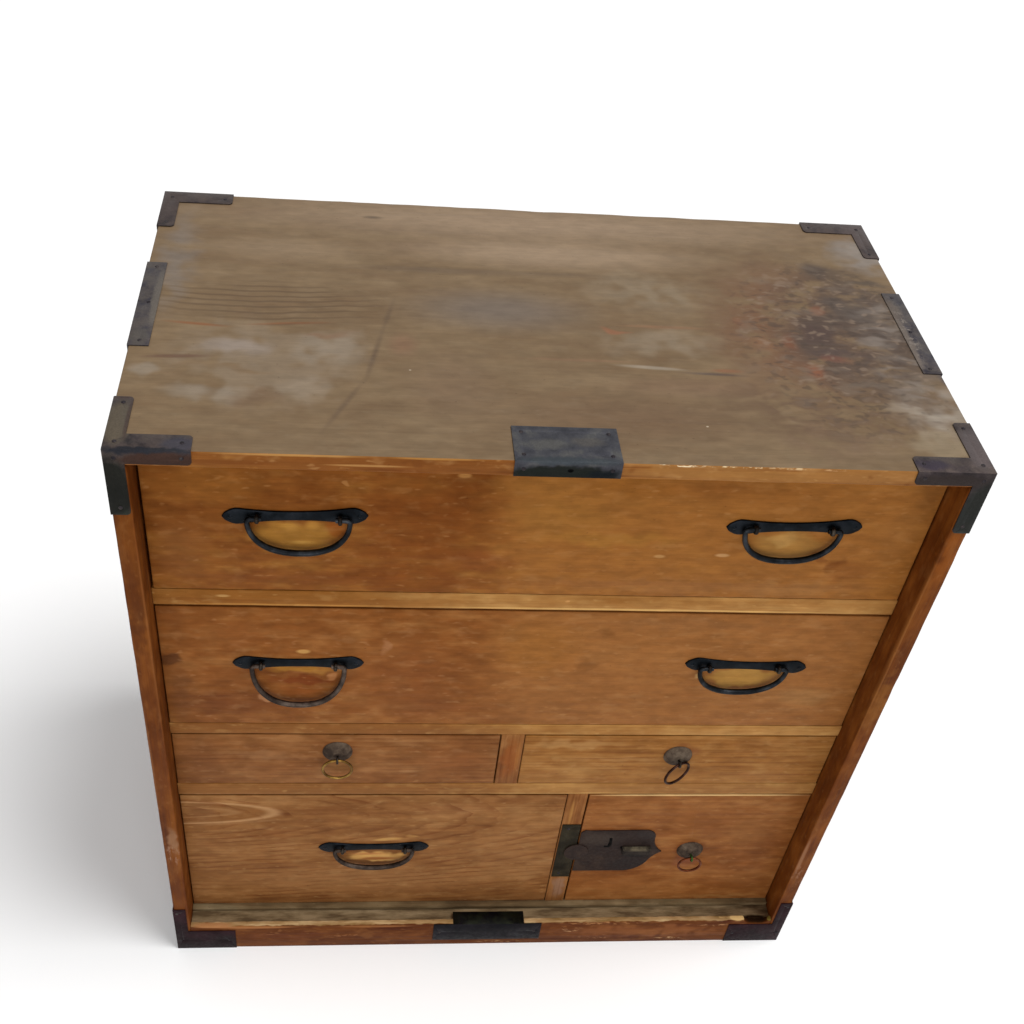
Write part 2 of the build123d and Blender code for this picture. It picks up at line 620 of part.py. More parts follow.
def main():
    os.makedirs("parts", exist_ok=True)
    make_case()
    make_rails()
    make_dividers()
    make_irons()
    for name, handles in (("top_drawer", TOP_HANDLES), ("second_drawer", SECOND_HANDLES),
                          ("lower_left_drawer", LOWER_HANDLES)):
        make_drawer(name, post_spots(handles))
        make_bails(name, handles)
    for name, pull, cutters in (("left_small_drawer", LEFT_SMALL_PULL, ()),
                                ("right_small_drawer", RIGHT_SMALL_PULL, ()),
                                ("locking_drawer", LOCKING_PULL, lock_cutters())):
        make_drawer(name, [(pull.x, pull.z)], cutters)
        make_ring_pull(name, pull)
    make_lock()
    make_carrying_handles()


if __name__ == "__main__":
    main()
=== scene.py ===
"""Looks of the isho clothing chest: an old paulownia case in a worn brown finish, with black
iron corner irons, straps and plates, five bail handles, three ring pulls, a sliding-bolt
lock and a carrying handle on each side.

Metres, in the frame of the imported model: X runs to the right, Y to the back, Z up. Patterns,
outlines and the rows of marks are in millimetres in the same frame.
"""

import json
import math
from collections import namedtuple

import bmesh
import bpy
from mathutils import Matrix, Vector, noise

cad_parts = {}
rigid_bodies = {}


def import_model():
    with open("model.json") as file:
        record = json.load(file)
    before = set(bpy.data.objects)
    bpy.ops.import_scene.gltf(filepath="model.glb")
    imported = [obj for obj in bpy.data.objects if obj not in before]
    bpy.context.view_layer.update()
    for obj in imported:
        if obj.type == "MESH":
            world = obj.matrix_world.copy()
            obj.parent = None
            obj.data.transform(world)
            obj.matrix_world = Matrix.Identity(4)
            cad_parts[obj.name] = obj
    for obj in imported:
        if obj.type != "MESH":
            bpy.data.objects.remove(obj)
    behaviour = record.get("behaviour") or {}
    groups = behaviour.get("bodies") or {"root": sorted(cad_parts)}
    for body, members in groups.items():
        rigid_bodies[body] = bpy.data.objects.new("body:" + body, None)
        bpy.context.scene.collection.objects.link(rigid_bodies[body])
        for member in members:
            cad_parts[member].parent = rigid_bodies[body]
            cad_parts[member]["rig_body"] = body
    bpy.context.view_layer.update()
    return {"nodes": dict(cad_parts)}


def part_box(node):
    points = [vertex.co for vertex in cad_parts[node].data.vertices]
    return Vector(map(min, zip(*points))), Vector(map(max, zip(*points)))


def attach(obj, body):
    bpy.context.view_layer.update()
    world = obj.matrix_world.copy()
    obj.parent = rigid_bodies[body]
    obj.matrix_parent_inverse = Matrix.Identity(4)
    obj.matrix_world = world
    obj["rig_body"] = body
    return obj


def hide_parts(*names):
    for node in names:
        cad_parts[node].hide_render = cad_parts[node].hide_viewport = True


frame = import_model()

MM = 0.001
X, Y, Z = 0, 1, 2
AXES = RIGHT, BACK, UP = Vector((1, 0, 0)), Vector((0, 1, 0)), Vector((0, 0, 1))

# ---- Places read from the frame ---------------------------------------------------
FACE_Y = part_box("second_drawer_front")[0].y
SIDE_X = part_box("right_side_board")[1].x
FACE = FACE_Y / MM
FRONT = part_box("left_side_board")[0].y / MM
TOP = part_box("top_board")[1].z / MM
SILL_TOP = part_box("sill_rail")[1].z / MM


# ---- Materials: the one node helper and the patterns --------------------------------
def srgb(code):
    """Linear colour of an sRGB hex value."""
    channels = [int(code[i:i + 2], 16) / 255 for i in (0, 2, 4)]
    linear = [c / 12.92 if c <= 0.04045 else ((c + 0.055) / 1.055) ** 2.4 for c in channels]
    return (*linear, 1.0)


def add(tree, kind, settings=None, out=None, **inputs):
    """Adds a node with its settings, gives its inputs values or links, and returns an output."""
    node = tree.nodes.new("ShaderNode" + kind)
    for key, value in (settings or {}).items():
        if key == "stops":
            ramp = node.color_ramp
            while len(ramp.elements) < len(value):
                ramp.elements.new(1.0)
            for element, (position, code) in zip(ramp.elements, value):
                element.position, element.color = position, srgb(code)
        else:
            setattr(node, key, value)
    for key, value in inputs.items():
        socket = next(s for s in node.inputs if key in (s.identifier, s.name.replace(" ", "_")))
        if isinstance(value, bpy.types.NodeSocket):
            tree.links.new(value, socket)
        else:
            socket.default_value = value
    return next((s for s in node.outputs if (out in (s.identifier, s.name) if out else s.enabled)), None)


SMOOTH = {"interpolation_type": "SMOOTHSTEP"}
TIMES = {"operation": "MULTIPLY"}
TIMES_PLUS = {"operation": "MULTIPLY_ADD"}
MINUS = {"operation": "SUBTRACT"}
SCALED = {"operation": "SCALE"}
COVERING = {"data_type": "RGBA", "blend_type": "MIX"}
DARKENING = {"data_type": "RGBA", "blend_type": "MULTIPLY"}
WITHIN_SIZE = {"vector_type": "TEXTURE"}
BALL = {"gradient_type": "SPHERICAL"}
# A noise seldom leaves this span round 0.5, so a push by it reaches about a seventh of its factor.
SPAN = {"From_Min": 0.3, "From_Max": 0.7}
PUSH = 7.0
# A wave node's scale for rings one unit apart.
RING_SCALE = 0.314


def begin(name):
    """New material: its tree, and object coordinates in millimetres."""
    material = bpy.data.materials.new(name)
    material.use_nodes = True
    tree = material.node_tree
    tree.nodes.clear()
    place = add(tree, "TexCoord", out="Object")
    return material, tree, add(tree, "VectorMath", SCALED, Vector=place, Scale=1 / MM)


def complete(tree, height, depth, **shader):
    """Bump of that depth in mm from a height, the shader, and the material's output."""
    normal = add(tree, "Bump", Strength=1.0, Distance=depth * MM, Height=height)
    add(tree, "OutputMaterial", Surface=add(tree, "BsdfPrincipled", Normal=normal, **shader))


def spots(tree, place, size, detail=3.0, rough=0.55, out=None):
    """Noise whose spots have this size in mm along X, Y and Z."""
    spread = add(tree, "Mapping", Vector=place, Scale=[1 / length for length in size])
    return add(tree, "TexNoise", None, out, Vector=spread, Scale=1.0, Detail=detail, Roughness=rough)


def ragged(tree, place, size, reach):
    """The place pushed about by up to about reach mm, so that what reads it gets a torn edge."""
    push = spots(tree, place, (size,) * 3, 1.5, 0.5, "Color")
    push = add(tree, "VectorMath", MINUS, Vector=push, Vector_001=(0.5, 0.5, 0.5))
    push = add(tree, "VectorMath", SCALED, Vector=push, Scale=PUSH * reach)
    return add(tree, "VectorMath", {"operation": "ADD"}, Vector=place, Vector_001=push)


def laid(tree, colour, over, pattern, low, high, amount=1.0, within=None, how=COVERING):
    """Lays a tone, or another colour, on a colour where a pattern rises from low to high. Returns
    the new colour and how far it is covered."""
    cover = add(tree, "MapRange", SMOOTH, Value=pattern, From_Min=low, From_Max=high, To_Max=amount)
    if within:
        cover = add(tree, "Math", TIMES, Value=cover, Value_001=within)
    over = srgb(over) if isinstance(over, str) else over
    return add(tree, "Mix", how, Factor_Float=cover, A_Color=colour, B_Color=over), cover


# ---- Marks: soft patches of another tone, laid one by one ----------------------------
Mark = namedtuple("Mark", "at size tone amount soft broken turn")
# Marks thinner than this many mm, and softer than this, keep a smooth outline.
THIN = 4.5
HAZY = 0.85


def face_mark(x, z, wide, tall, tone, amount=0.6, soft=0.8, turn=0.0):
    """A mark on the drawer faces: its middle, half width and half height in mm, and its colour."""
    return Mark((x, FACE, z), (wide, 30.0, tall), tone, amount, soft, False, (0, math.radians(-turn), 0))


def front_mark(x, z, wide, tall, tone, amount=0.7, soft=0.6, broken=False):
    """A mark on the front edges of the case boards."""
    return Mark((x, FRONT, z), (wide, 8.0, tall), tone, amount, soft, broken, (0, 0, 0))


def top_mark(x, y, wide, deep, tone, amount=0.7, soft=0.8, turn=0.0):
    """A mark on the top."""
    return Mark((x, y, TOP), (wide, deep, 12.0), tone, amount, soft, False, (0, 0, math.radians(turn)))


def edge_mark(x, y, z, wide, deep, tall, tone, amount=0.8, soft=0.6, broken=False):
    """A mark that wraps round an edge, level with the axes."""
    return Mark((x, y, z), (wide, deep, tall), tone, amount, soft, broken, (0, 0, 0))


def marks(kind, *rows):
    """One mark of a kind for each row."""
    return [kind(*row) for row in rows]


def marked(tree, colour, place, torn, crumbs, laid_marks):
    """Lays each mark on the colour: an ellipse with a soft torn edge, or only its crumbs. Thin and
    hazy marks stay smooth, and a negative softness leaves only a smooth line along the edge."""
    for mark in laid_marks:
        smooth = mark.soft < 0 or mark.soft > HAZY or min(mark.size) < THIN
        near = add(tree, "Mapping", WITHIN_SIZE, Vector=place if smooth else torn,
                   Location=mark.at, Rotation=mark.turn, Scale=mark.size)
        ball = add(tree, "TexGradient", BALL, Vector=near)
        within = crumbs if mark.broken else None
        if mark.soft < 0:
            edge = -mark.soft
            within = add(tree, "MapRange", SMOOTH, Value=ball, From_Min=2.2 * edge, From_Max=edge)
        colour, _ = laid(tree, colour, mark.tone, ball, 0.0, abs(mark.soft), mark.amount, within)
    return colour


# Woods: from the case downwards, then the drawers.
TOP_MARKS = marks(
    top_mark,
    (0, 184, 430, 56, "97816a", 0.75, 0.9), (20, 122, 230, 40, "98826a", 0.85, 0.9),
    (-250, 110, 110, 34, "8a755d", 0.6, 0.9), (-90, 82, 130, 10, "675542", 0.8, 0.9),
    (30, 84, 70, 7, "675542", 0.6, 0.9), (-40, 14, 120, 50, "6c6158", 0.75, 0.9),
    (-352, 80, 30, 130, "776c62", 0.75), (-262, -84, 108, 84, "81705c", 0.7, 0.5),
    (-147, -2, 40, 4.4, "5f4d3c", 0.6, 0.95, 78), (-160, -68, 56, 4.4, "5f4d3c", 0.8, 0.95, 79),
    (-186, -144, 58, 4.4, "5f4d3c", 0.65, 0.95, 65), (-90, -110, 62, 70, "755f49", 0.7, 0.9),
    (60, -150, 190, 54, "6c553f", 0.85, 0.9), (-285, -62, 46, 24, "8f8277", 0.75),
    (-198, -58, 46, 34, "8b7d6c"), (-222, -122, 46, 26, "8b7b68", 0.65, 0.7),
    (-357, -106, 22, 14, "897c6c", 0.7, 0.6), (-305, -130, 50, 18, "8b7e6e", 0.65),
    (-268, -138, 34, 16, "6d5640", 0.7, 0.7), (-300, -95, 60, 7, "735c42", 0.7, 0.7),
    (-335, -80, 42, 4, "62493a", 0.8, 0.7, 4), (-322, -28, 40, 3.2, "7c5438", 0.95, 0.8, -5),
    (-238, -22, 50, 3.2, "7c5438", 0.9, 0.8, 6), (-205, -40, 30, 9, "7e5f48", 0.6),
    (-134, -50, 20, 26, "82604a", 0.5, 0.9), (-162, 181, 15, 4.4, "54463a", 0.75, 0.9),
    (110, 56, 90, 50, "857560"), (110, -30, 90, 30, "867662"), (140, -100, 120, 22, "785f49", 0.7, 0.9),
    (96, -72, 44, 4, "948674", 0.9, 0.8, -4), (155, -79, 42, 3.4, "5c4d42", 0.95, 0.8, -2),
    (168, -73, 22, 4.4, "83563c"), (66, -9, 16, 7, "8f6045", 0.75, 0.7), (120, -4, 60, 4, "86644b", 0.6),
    (198, 9, 11, 12, "8a5c3e", 0.8, 0.7), (30, -64, 70, 3.4, "80624a", 0.6),
    (350, -122, 50, 60, "9a8f81", 0.9, 0.7), (345, -176, 50, 26, "8a7a62", 0.7, 0.6),
    (360, 150, 46, 50, "877d74", 0.9, 0.7), (250, -170, 80, 36, "735c48", 0.6),
    (132, -158, 1.7, 1.3, "c4b69e", 0.8), (-128, -89, 1.7, 1.3, "b8aa94", 0.8))
STAIN_MARKS = marks(
    top_mark,
    (306, 112, 34, 24, "473b33", 0.85), (346, 92, 34, 8, "4a4038"), (272, -4, 32, 26, "4b3b35", 0.85),
    (284, -40, 34, 15, "4c3e3a", 0.8), (320, 40, 34, 40, "524841"), (280, 36, 12, 8, "7e4f39", 0.7, 0.7),
    (244, -20, 12, 20, "724832"), (251, -66, 17, 15, "845138"), (281, -50, 19, 10, "6e463a", 0.6),
    (215, -28, 22, 22, "7f5a40", 0.6), (371, 10, 9, 70, "3f3a3e", 0.85, 0.7),
    (375, -58, 8, 30, "38343a", 0.85, 0.7))
EDGE_MARKS = marks(
    front_mark,
    (-190, 781, 170, 40, "78461e", 0.8, 0.5), (200, 781, 190, 40, "966838", 0.8, 0.4),
    (-120, 784, 24, 5, "6b3c19", 0.6, 0.7), (100, 788.6, 26, 2.2, "e6d2ac", 0.95, 0.5, True),
    (150, 788.6, 34, 2.4, "dec498", 0.95, 0.5, True), (196, 788.4, 24, 2, "d6b98c", 0.9, 0.5, True),
    (232, 788.2, 20, 1.8, "c49a6c", 0.9, 0.5, True), (-230, 788.2, 80, 1.8, "b0824a", 0.8),
    (-110, 788.2, 50, 1.6, "a8783f", 0.8), (-165, 779, 44, 1.6, "b98a52", 0.6),
    (60, 773.2, 80, 1.4, "b07c40"))
CASE_MARKS = marks(
    front_mark,
    (-369, 205, 10, 30, "94705a", 0.8, 0.6, True), (-368, 232, 8, 34, "8c684c"),
    (-369, 600, 12, 90, "532a0f", 0.9, 0.8), (-369, 700, 12, 60, "703e14", 0.7, 0.7),
    (-369, 360, 12, 80, "633416", 0.6, 0.7), (-361.8, 560, 1.6, 190, "7e4c24", 0.6, 0.7),
    (-377, 380, 2, 120, "8c5a34", 0.5, 0.7), (369, 690, 12, 60, "844818", 0.7, 0.7),
    (369, 480, 12, 70, "82501f", 0.7, 0.7), (361.8, 560, 2, 180, "8e5a2c", 0.6, 0.7),
    (369, 150, 10, 40, "8a6248", 0.7, 0.6, True), (364, 190, 3, 50, "93694c", 0.6))
SILL_MARKS = marks(
    front_mark,
    (105, 35, 20, 6, "b58a60", 0.9, 0.6, True), (140, 12, 30, 5, "a07450", 0.9, 0.6, True),
    (-180, 22, 26, 7, "95643e", 0.8, 0.6, True), (235, 8, 24, 4, "b08a62", 0.9, 0.6, True),
    (20, 5, 40, 4, "a88058", 0.8, 0.6, True), (200, 26, 150, 20, "84502c", 0.7, 0.7),
    (-250, 22, 80, 14, "693a22", 0.5, 0.8), (-290, 45, 70, 4, "a06a3e", 0.8), (-140, 44, 60, 3, "8f5c34"),
    (150, 45, 70, 4, "a8764a", 0.8, 0.6, True), (290, 40, 30, 5, "b08458", 0.8, 0.6, True))
# The long dark line at y -188.5 is a dark joint and painted shade along the back wall of the groove.
LIP_MARKS = marks(
    edge_mark,
    (342, -208, 45, 19, 8, 7, "1d1008", 1.0, 0.35), (318, -208, 47, 12, 5, 3, "d8b377", 0.95, 0.25),
    (300, -207, 46, 12, 3, 3, "c4a06a", 0.8, 0.4, True), (359, -209, 47, 4, 4, 4, "857436", 0.9, 0.4),
    (-335, -210, 47, 30, 5, 4, "a8744a", 0.85, 0.5), (-20, -201, 47, 60, 7, 4, "a08a62", 0.7, 0.5),
    (0, -188.5, 48, 390, 1.8, 9, "2e2417", 0.8, 0.5), (230, -196, 46, 90, 7, 8, "5a4f38", 0.4, 0.7, True),
    (-150, -204, 46, 200, 3, 8, "43351f", 0.6, 0.7))
GROOVE_MARKS = marks(
    edge_mark,
    (250, -188, 48, 60, 20, 12, "5c5038", 0.5, 0.6, True), (-330, -188, 48, 40, 20, 12, "786a50", 0.6))
RAIL_MARKS = marks(
    face_mark,
    (-250, 587, 240, 40, "82501f", 0.9, 0.7), (110, 579.2, 250, 1.8, "d0a564", 0.85, 0.6),
    (-230, 579.2, 130, 1.4, "b58040", 0.7, 0.6), (0, 399.2, 360, 1.2, "ab7c42", 0.6, 0.6),
    (60, 276.2, 300, 1.4, "b88c50", 0.6, 0.6), (-296, 590, 9, 2.4, "b98e56", 0.8, 0.7),
    (30, 590, 5, 4.6, "c08c54", 0.7, 0.7), (-230, 391, 280, 22, "7e4f27", 0.95, 0.5),
    (-200, 285, 300, 24, "80532b", 0.95, 0.5), (220, 285, 200, 24, "8c5f34", 0.85, 0.7))
DIVIDER_MARKS = marks(
    face_mark,
    (0, 340, 11, 44, "86491f", 0.7, 0.6), (8, 340, 3, 44, "9c6430", 0.6, 0.7),
    (86, 80, 10, 26, "8a6a55", 0.75, 0.6), (82, 240, 3, 34, "a87840", 0.6, 0.7))
TOP_DRAWER_MARKS = marks(
    face_mark,
    (205, 685, 276, 420, "935f2b", 0.75, 0.2), (-118, 690, 62, 300, "713c14", 0.6, 0.5),
    (-74, 740, 26, 40, "63330f", 0.6, 0.6), (-300, 728, 70, 34, "8a5622"), (-330, 650, 36, 50, "7c4d26"),
    (-260, 615, 120, 16, "713f1b", 0.6, 0.7), (10, 700, 66, 34, "90602a", 0.7, 0.7),
    (60, 672, 100, 13, "98682c"), (-10, 735, 60, 20, "8f5f2a", 0.5), (70, 738, 60, 16, "875420", 0.6, 0.7),
    (150, 742, 50, 22, "7d4c20"), (110, 612, 190, 15, "8a5c34", 0.5), (250, 612, 90, 16, "91653a", 0.5),
    (-228, 668, 47, 25, "9c6d2e", 0.85, 0.5), (-190, 676, 14, 12, "8c4c1c", 0.7, 0.6),
    (-232, 680, 12, 8, "ad7c36", 0.7, 0.9), (-212, 682, 9, 8, "b17e38", 0.7, 0.9),
    (-222, 661, 17, 3.5, "b98a44", 0.75, 0.9), (228, 668, 44, 22, "9d7139", 0.85, 0.45),
    (222, 676, 18, 8, "aa8148", 0.75, 0.7), (281, 647, 15, 12, "693812", 0.75, 0.6),
    (262, 653, 12, 6, "70401a", 0.65, 0.6), (205, 630, 60, 16, "875526", 0.5),
    (335, 690, 30, 66, "8c5c2e", 0.5), (348, 745, 18, 40, "6d4420", 0.7),
    (-265, 642, 56, 18, "703d17", 0.7), (300, 636, 30, 20, "7c4a20"), (-56, 642, 50, 20, "77411c", 0.7),
    (-182, 733, 7, 5, "a5713e", 0.8, 0.6), (-80, 745, 8, 4, "a87640", 0.8, 0.6),
    (170, 655, 9, 3, "b98c5c", 0.8, 0.6), (110, 652, 7, 3, "b28450", 0.8, 0.6))
SECOND_DRAWER_MARKS = marks(
    face_mark,
    (215, 495, 290, 300, "915f32", 0.7, 0.3), (-280, 538, 56, 20, "7a461f", 0.65),
    (-300, 432, 80, 30, "68391a", 0.75), (10, 520, 66, 60, "905c26", 0.5), (-120, 480, 70, 80, "7a4722"),
    (-352, 500, 14, 11, "52301a", 0.85, 0.45), (-346, 450, 18, 60, "6b4122", 0.65, 0.7),
    (-345, 560, 20, 24, "6d3f1d", 0.6, 0.7), (-225, 487, 42, 8, "9f6d2b", 0.8, 0.6),
    (-222, 471, 42, 9, "6a3212", 0.85, 0.6), (-225, 453, 36, 9, "83471f"),
    (-196, 476, 9, 5, "a26a3e", 0.8, 0.6), (-222, 513, 9, 4, "bd8e50", 0.85, 0.6),
    (228, 481, 43, 18, "a67b3d", 0.9, 0.4), (184, 485, 7, 7, "c4a068", 0.75, 0.7),
    (62, 496, 14, 9, "6f4420", 0.55, 0.7), (78, 545, 16, 5, "70441f", 0.5, 0.7),
    (-90, 430, 60, 20, "764624", 0.5), (-140, 520, 8, 12, "9c6c48", 0.6, 0.7),
    (300, 450, 50, 24, "976e42", 0.5), (-262, 440, 10, 6, "a87650", 0.7, 0.6),
    (150, 560, 150, 12, "875a34", 0.5))
# The second mark, just below the rosette where the ring hangs, is a painted shadow of the ring.
LEFT_SMALL_MARKS = marks(
    face_mark,
    (-186, 353, 24, 20, "6a3a20", 0.7, 0.6), (-182, 330, 26, 18, "704a22"), (-330, 340, 34, 50, "734727"),
    (-270, 345, 50, 10, "8f6440"), (-60, 340, 50, 40, "814c26", 0.5), (-187, 377, 26, 5, "6d4525", 0.5),
    (-110, 318, 14, 4, "9c7048", 0.6, 0.7))
# The fourth mark, just below the rosette where the ring hangs, is a painted shadow of the ring.
RIGHT_SMALL_MARKS = marks(
    face_mark,
    (70, 366, 80, 10, "a67b4a", 0.7), (120, 340, 90, 6, "a17444", 0.5),
    (190, 352, 24, 20, "784526", 0.6, 0.6), (188, 325, 30, 26, "80552c"),
    (290, 370, 60, 10, "9c6d3c", 0.5), (290, 310, 60, 14, "8c5c32", 0.5), (40, 312, 40, 10, "8a5a30", 0.5))
LOWER_LEFT_MARKS = marks(
    face_mark,
    (-300, 221, 60, 4, "a67c54", 0.6, 0.7, 6), (-300, 230, 60, 34, "7c5029"),
    (-340, 240, 20, 34, "724a2c"), (-372, 240, 128, 23, "b0855a", 0.8, -0.1),
    (-384, 241, 96, 12, "9c7148", 0.6, -0.14), (-144, 151, 42, 12, "c29354", 0.9, 0.4),
    (-138, 146, 30, 4, "8a4a26", 0.75, 0.6), (-150, 156, 30, 3, "a86a3c", 0.6, 0.7),
    (-128, 186, 22, 4, "bb8f52", 0.8, 0.6, 6), (-100, 192, 10, 3, "b5874e", 0.7, 0.6),
    (10, 170, 70, 60, "8d6139", 0.5), (-160, 98, 240, 44, "8f643d", 0.65, 0.9),
    (-175, 130, 16, 5, "a27852", 0.7, 0.6), (-260, 200, 30, 30, "7a4c28", 0.5),
    (-60, 245, 80, 20, "875935", 0.4, 0.9))
# The second mark, just below the rosette where the ring hangs, is a painted shadow of the ring; the third, a
# thin pale line along the top edge, is a painted highlight.
LOCKING_MARKS = marks(
    face_mark,
    (238, 160, 24, 22, "66331c", 0.75, 0.6), (238, 140, 20, 18, "7b452c", 0.7, 0.6),
    (230, 272.4, 150, 1.5, "d6b078", 0.9, 0.4), (330, 90, 60, 40, "74441e"),
    (160, 80, 90, 26, "84522a", 0.5), (240, 230, 80, 30, "88542a", 0.5), (300, 200, 40, 50, "8c5c30", 0.5),
    (300, 56, 60, 5, "94683a", 0.6, 0.7))


# ---- Wood ---------------------------------------------------------------------------
# The axis the board runs along and the place of its pith; the mm between its rings; how strong
# the ring lines, streaks, blotches (figure) and rubbed dabs are; the depth of the tooth and the
# tear of the marks' edges in mm; the pith's lean in degrees.
Grain = namedtuple("Grain", "along pith spacing lines streaks figure dabs tooth tear lean",
                   defaults=(0.2, 0.12, 4.0, 0.0))


def grown(tree, place, tones, grain, laid_marks=()):
    """Wood: colour, height and streaks. Tones run from dark to light, the last one for the rubbed
    spots; the rings stand round the pith. Sizes are mm along and across the grain; the finest
    fibre is drawn 1 mm wide, a few times its real width, so that it shows."""
    def size(run, rise):
        return [run if axis == grain.along else rise for axis in (X, Y, Z)]

    torn = ragged(tree, place, max(15.0, 5.0 * grain.tear), grain.tear)
    frayed = ragged(tree, place, 9.0, 0.7)
    streak = spots(tree, place, size(200.0, 3.0), 4.0, 0.6)
    cloud = spots(tree, place, size(130.0, 34.0))
    mottle = spots(tree, place, size(32.0, 14.0), 2.0)
    tone = add(tree, "Math", TIMES, Value=mottle, Value_001=0.5 - grain.streaks / 2)
    tone = add(tree, "Math", TIMES_PLUS, Value=cloud, Value_001=0.5, Value_002=tone)
    tone = add(tree, "Math", TIMES_PLUS, Value=streak, Value_001=grain.streaks, Value_002=tone)
    middle = 0.5 + grain.streaks / 4
    dark, body, light, pale = tones
    stops = ((middle - 0.15, dark), (middle, body), (middle + 0.15, light))
    colour = add(tree, "ValToRGB", {"stops": stops}, Fac=tone)
    crumbs = add(tree, "MapRange", SMOOTH, From_Min=0.5, From_Max=0.6,
                 Value=spots(tree, place, size(11.0, 3.6), 3.0, 0.65))
    colour = marked(tree, colour, place, torn, crumbs, laid_marks)
    # Late wood: darker, harder lines round the pith, drawn out along the board.
    rings = add(tree, "Mapping", WITHIN_SIZE, Vector=place, Location=grain.pith,
                Rotation=(0, 0, math.radians(grain.lean)), Scale=size(14.0, 1.0))
    ringed = {"wave_type": "RINGS", "rings_direction": "XYZ"[grain.along], "wave_profile": "SAW"}
    rings = add(tree, "TexWave", ringed, Vector=rings, Scale=RING_SCALE / grain.spacing, Distortion=7.0,
                Detail=3.0, Detail_Scale=0.6, Detail_Roughness=0.6)
    worn = add(tree, "MapRange", SMOOTH, From_Min=0.38, From_Max=0.62,
               Value=spots(tree, place, size(80.0, 30.0), 2.0))
    colour, late = laid(tree, colour, "a86a44", rings, 0.5, 1.0, grain.lines, worn, DARKENING)
    # Fibre and blotches shade the colour; dabs are where the finish is rubbed pale.
    fibre = spots(tree, place, size(36.0, 1.0))
    shade = add(tree, "MapRange", Value=fibre, **SPAN, To_Min=0.94, To_Max=1.06)
    blotch = spots(tree, frayed, size(20.0, 8.0), 2.0, 0.5)
    blotch = add(tree, "MapRange", Value=blotch, **SPAN, To_Min=1.0 - grain.figure,
                 To_Max=1.0 + grain.figure)
    shade = add(tree, "Math", TIMES, Value=shade, Value_001=blotch)
    colour = add(tree, "HueSaturation", Color=colour, Value=shade)
    large = spots(tree, frayed, size(27.0, 12.0), 2.0)
    colour, _ = laid(tree, colour, pale, large, 0.52, 0.76, grain.dabs)
    small = spots(tree, place, size(12.0, 5.0), 1.0)
    colour, _ = laid(tree, colour, pale, small, 0.64, 0.82, 1.4 * grain.dabs)
    pits = spots(tree, place, size(5.0, 2.6), 3.0, 0.6)
    colour, pitted = laid(tree, colour, "6a4a3a", pits, 0.32, 0.24, 0.4, None, DARKENING)
    height = add(tree, "Math", TIMES_PLUS, Value=late, Value_001=0.5, Value_002=streak)
    height = add(tree, "Math", TIMES_PLUS, Value=fibre, Value_001=0.5, Value_002=height)
    return colour, add(tree, "Math", MINUS, Value=height, Value_001=pitted), streak


AMBER = srgb("c8925a")


def board_wood(name, tones, grain, laid_marks=(), gloss=(0.42, 0.62), sheen=AMBER):
    """Planed softwood under an old thin amber oil: satin, and what it reflects is tinted too."""
    material, tree, place = begin(name)
    colour, height, streak = grown(tree, place, tones, grain, laid_marks)
    rough = add(tree, "MapRange", Value=streak, **SPAN, To_Min=gloss[0], To_Max=gloss[1])
    complete(tree, height, grain.tooth, Base_Color=colour, Roughness=rough, IOR=1.5,
             Specular_IOR_Level=0.1, Specular_Tint=sheen)
    return material


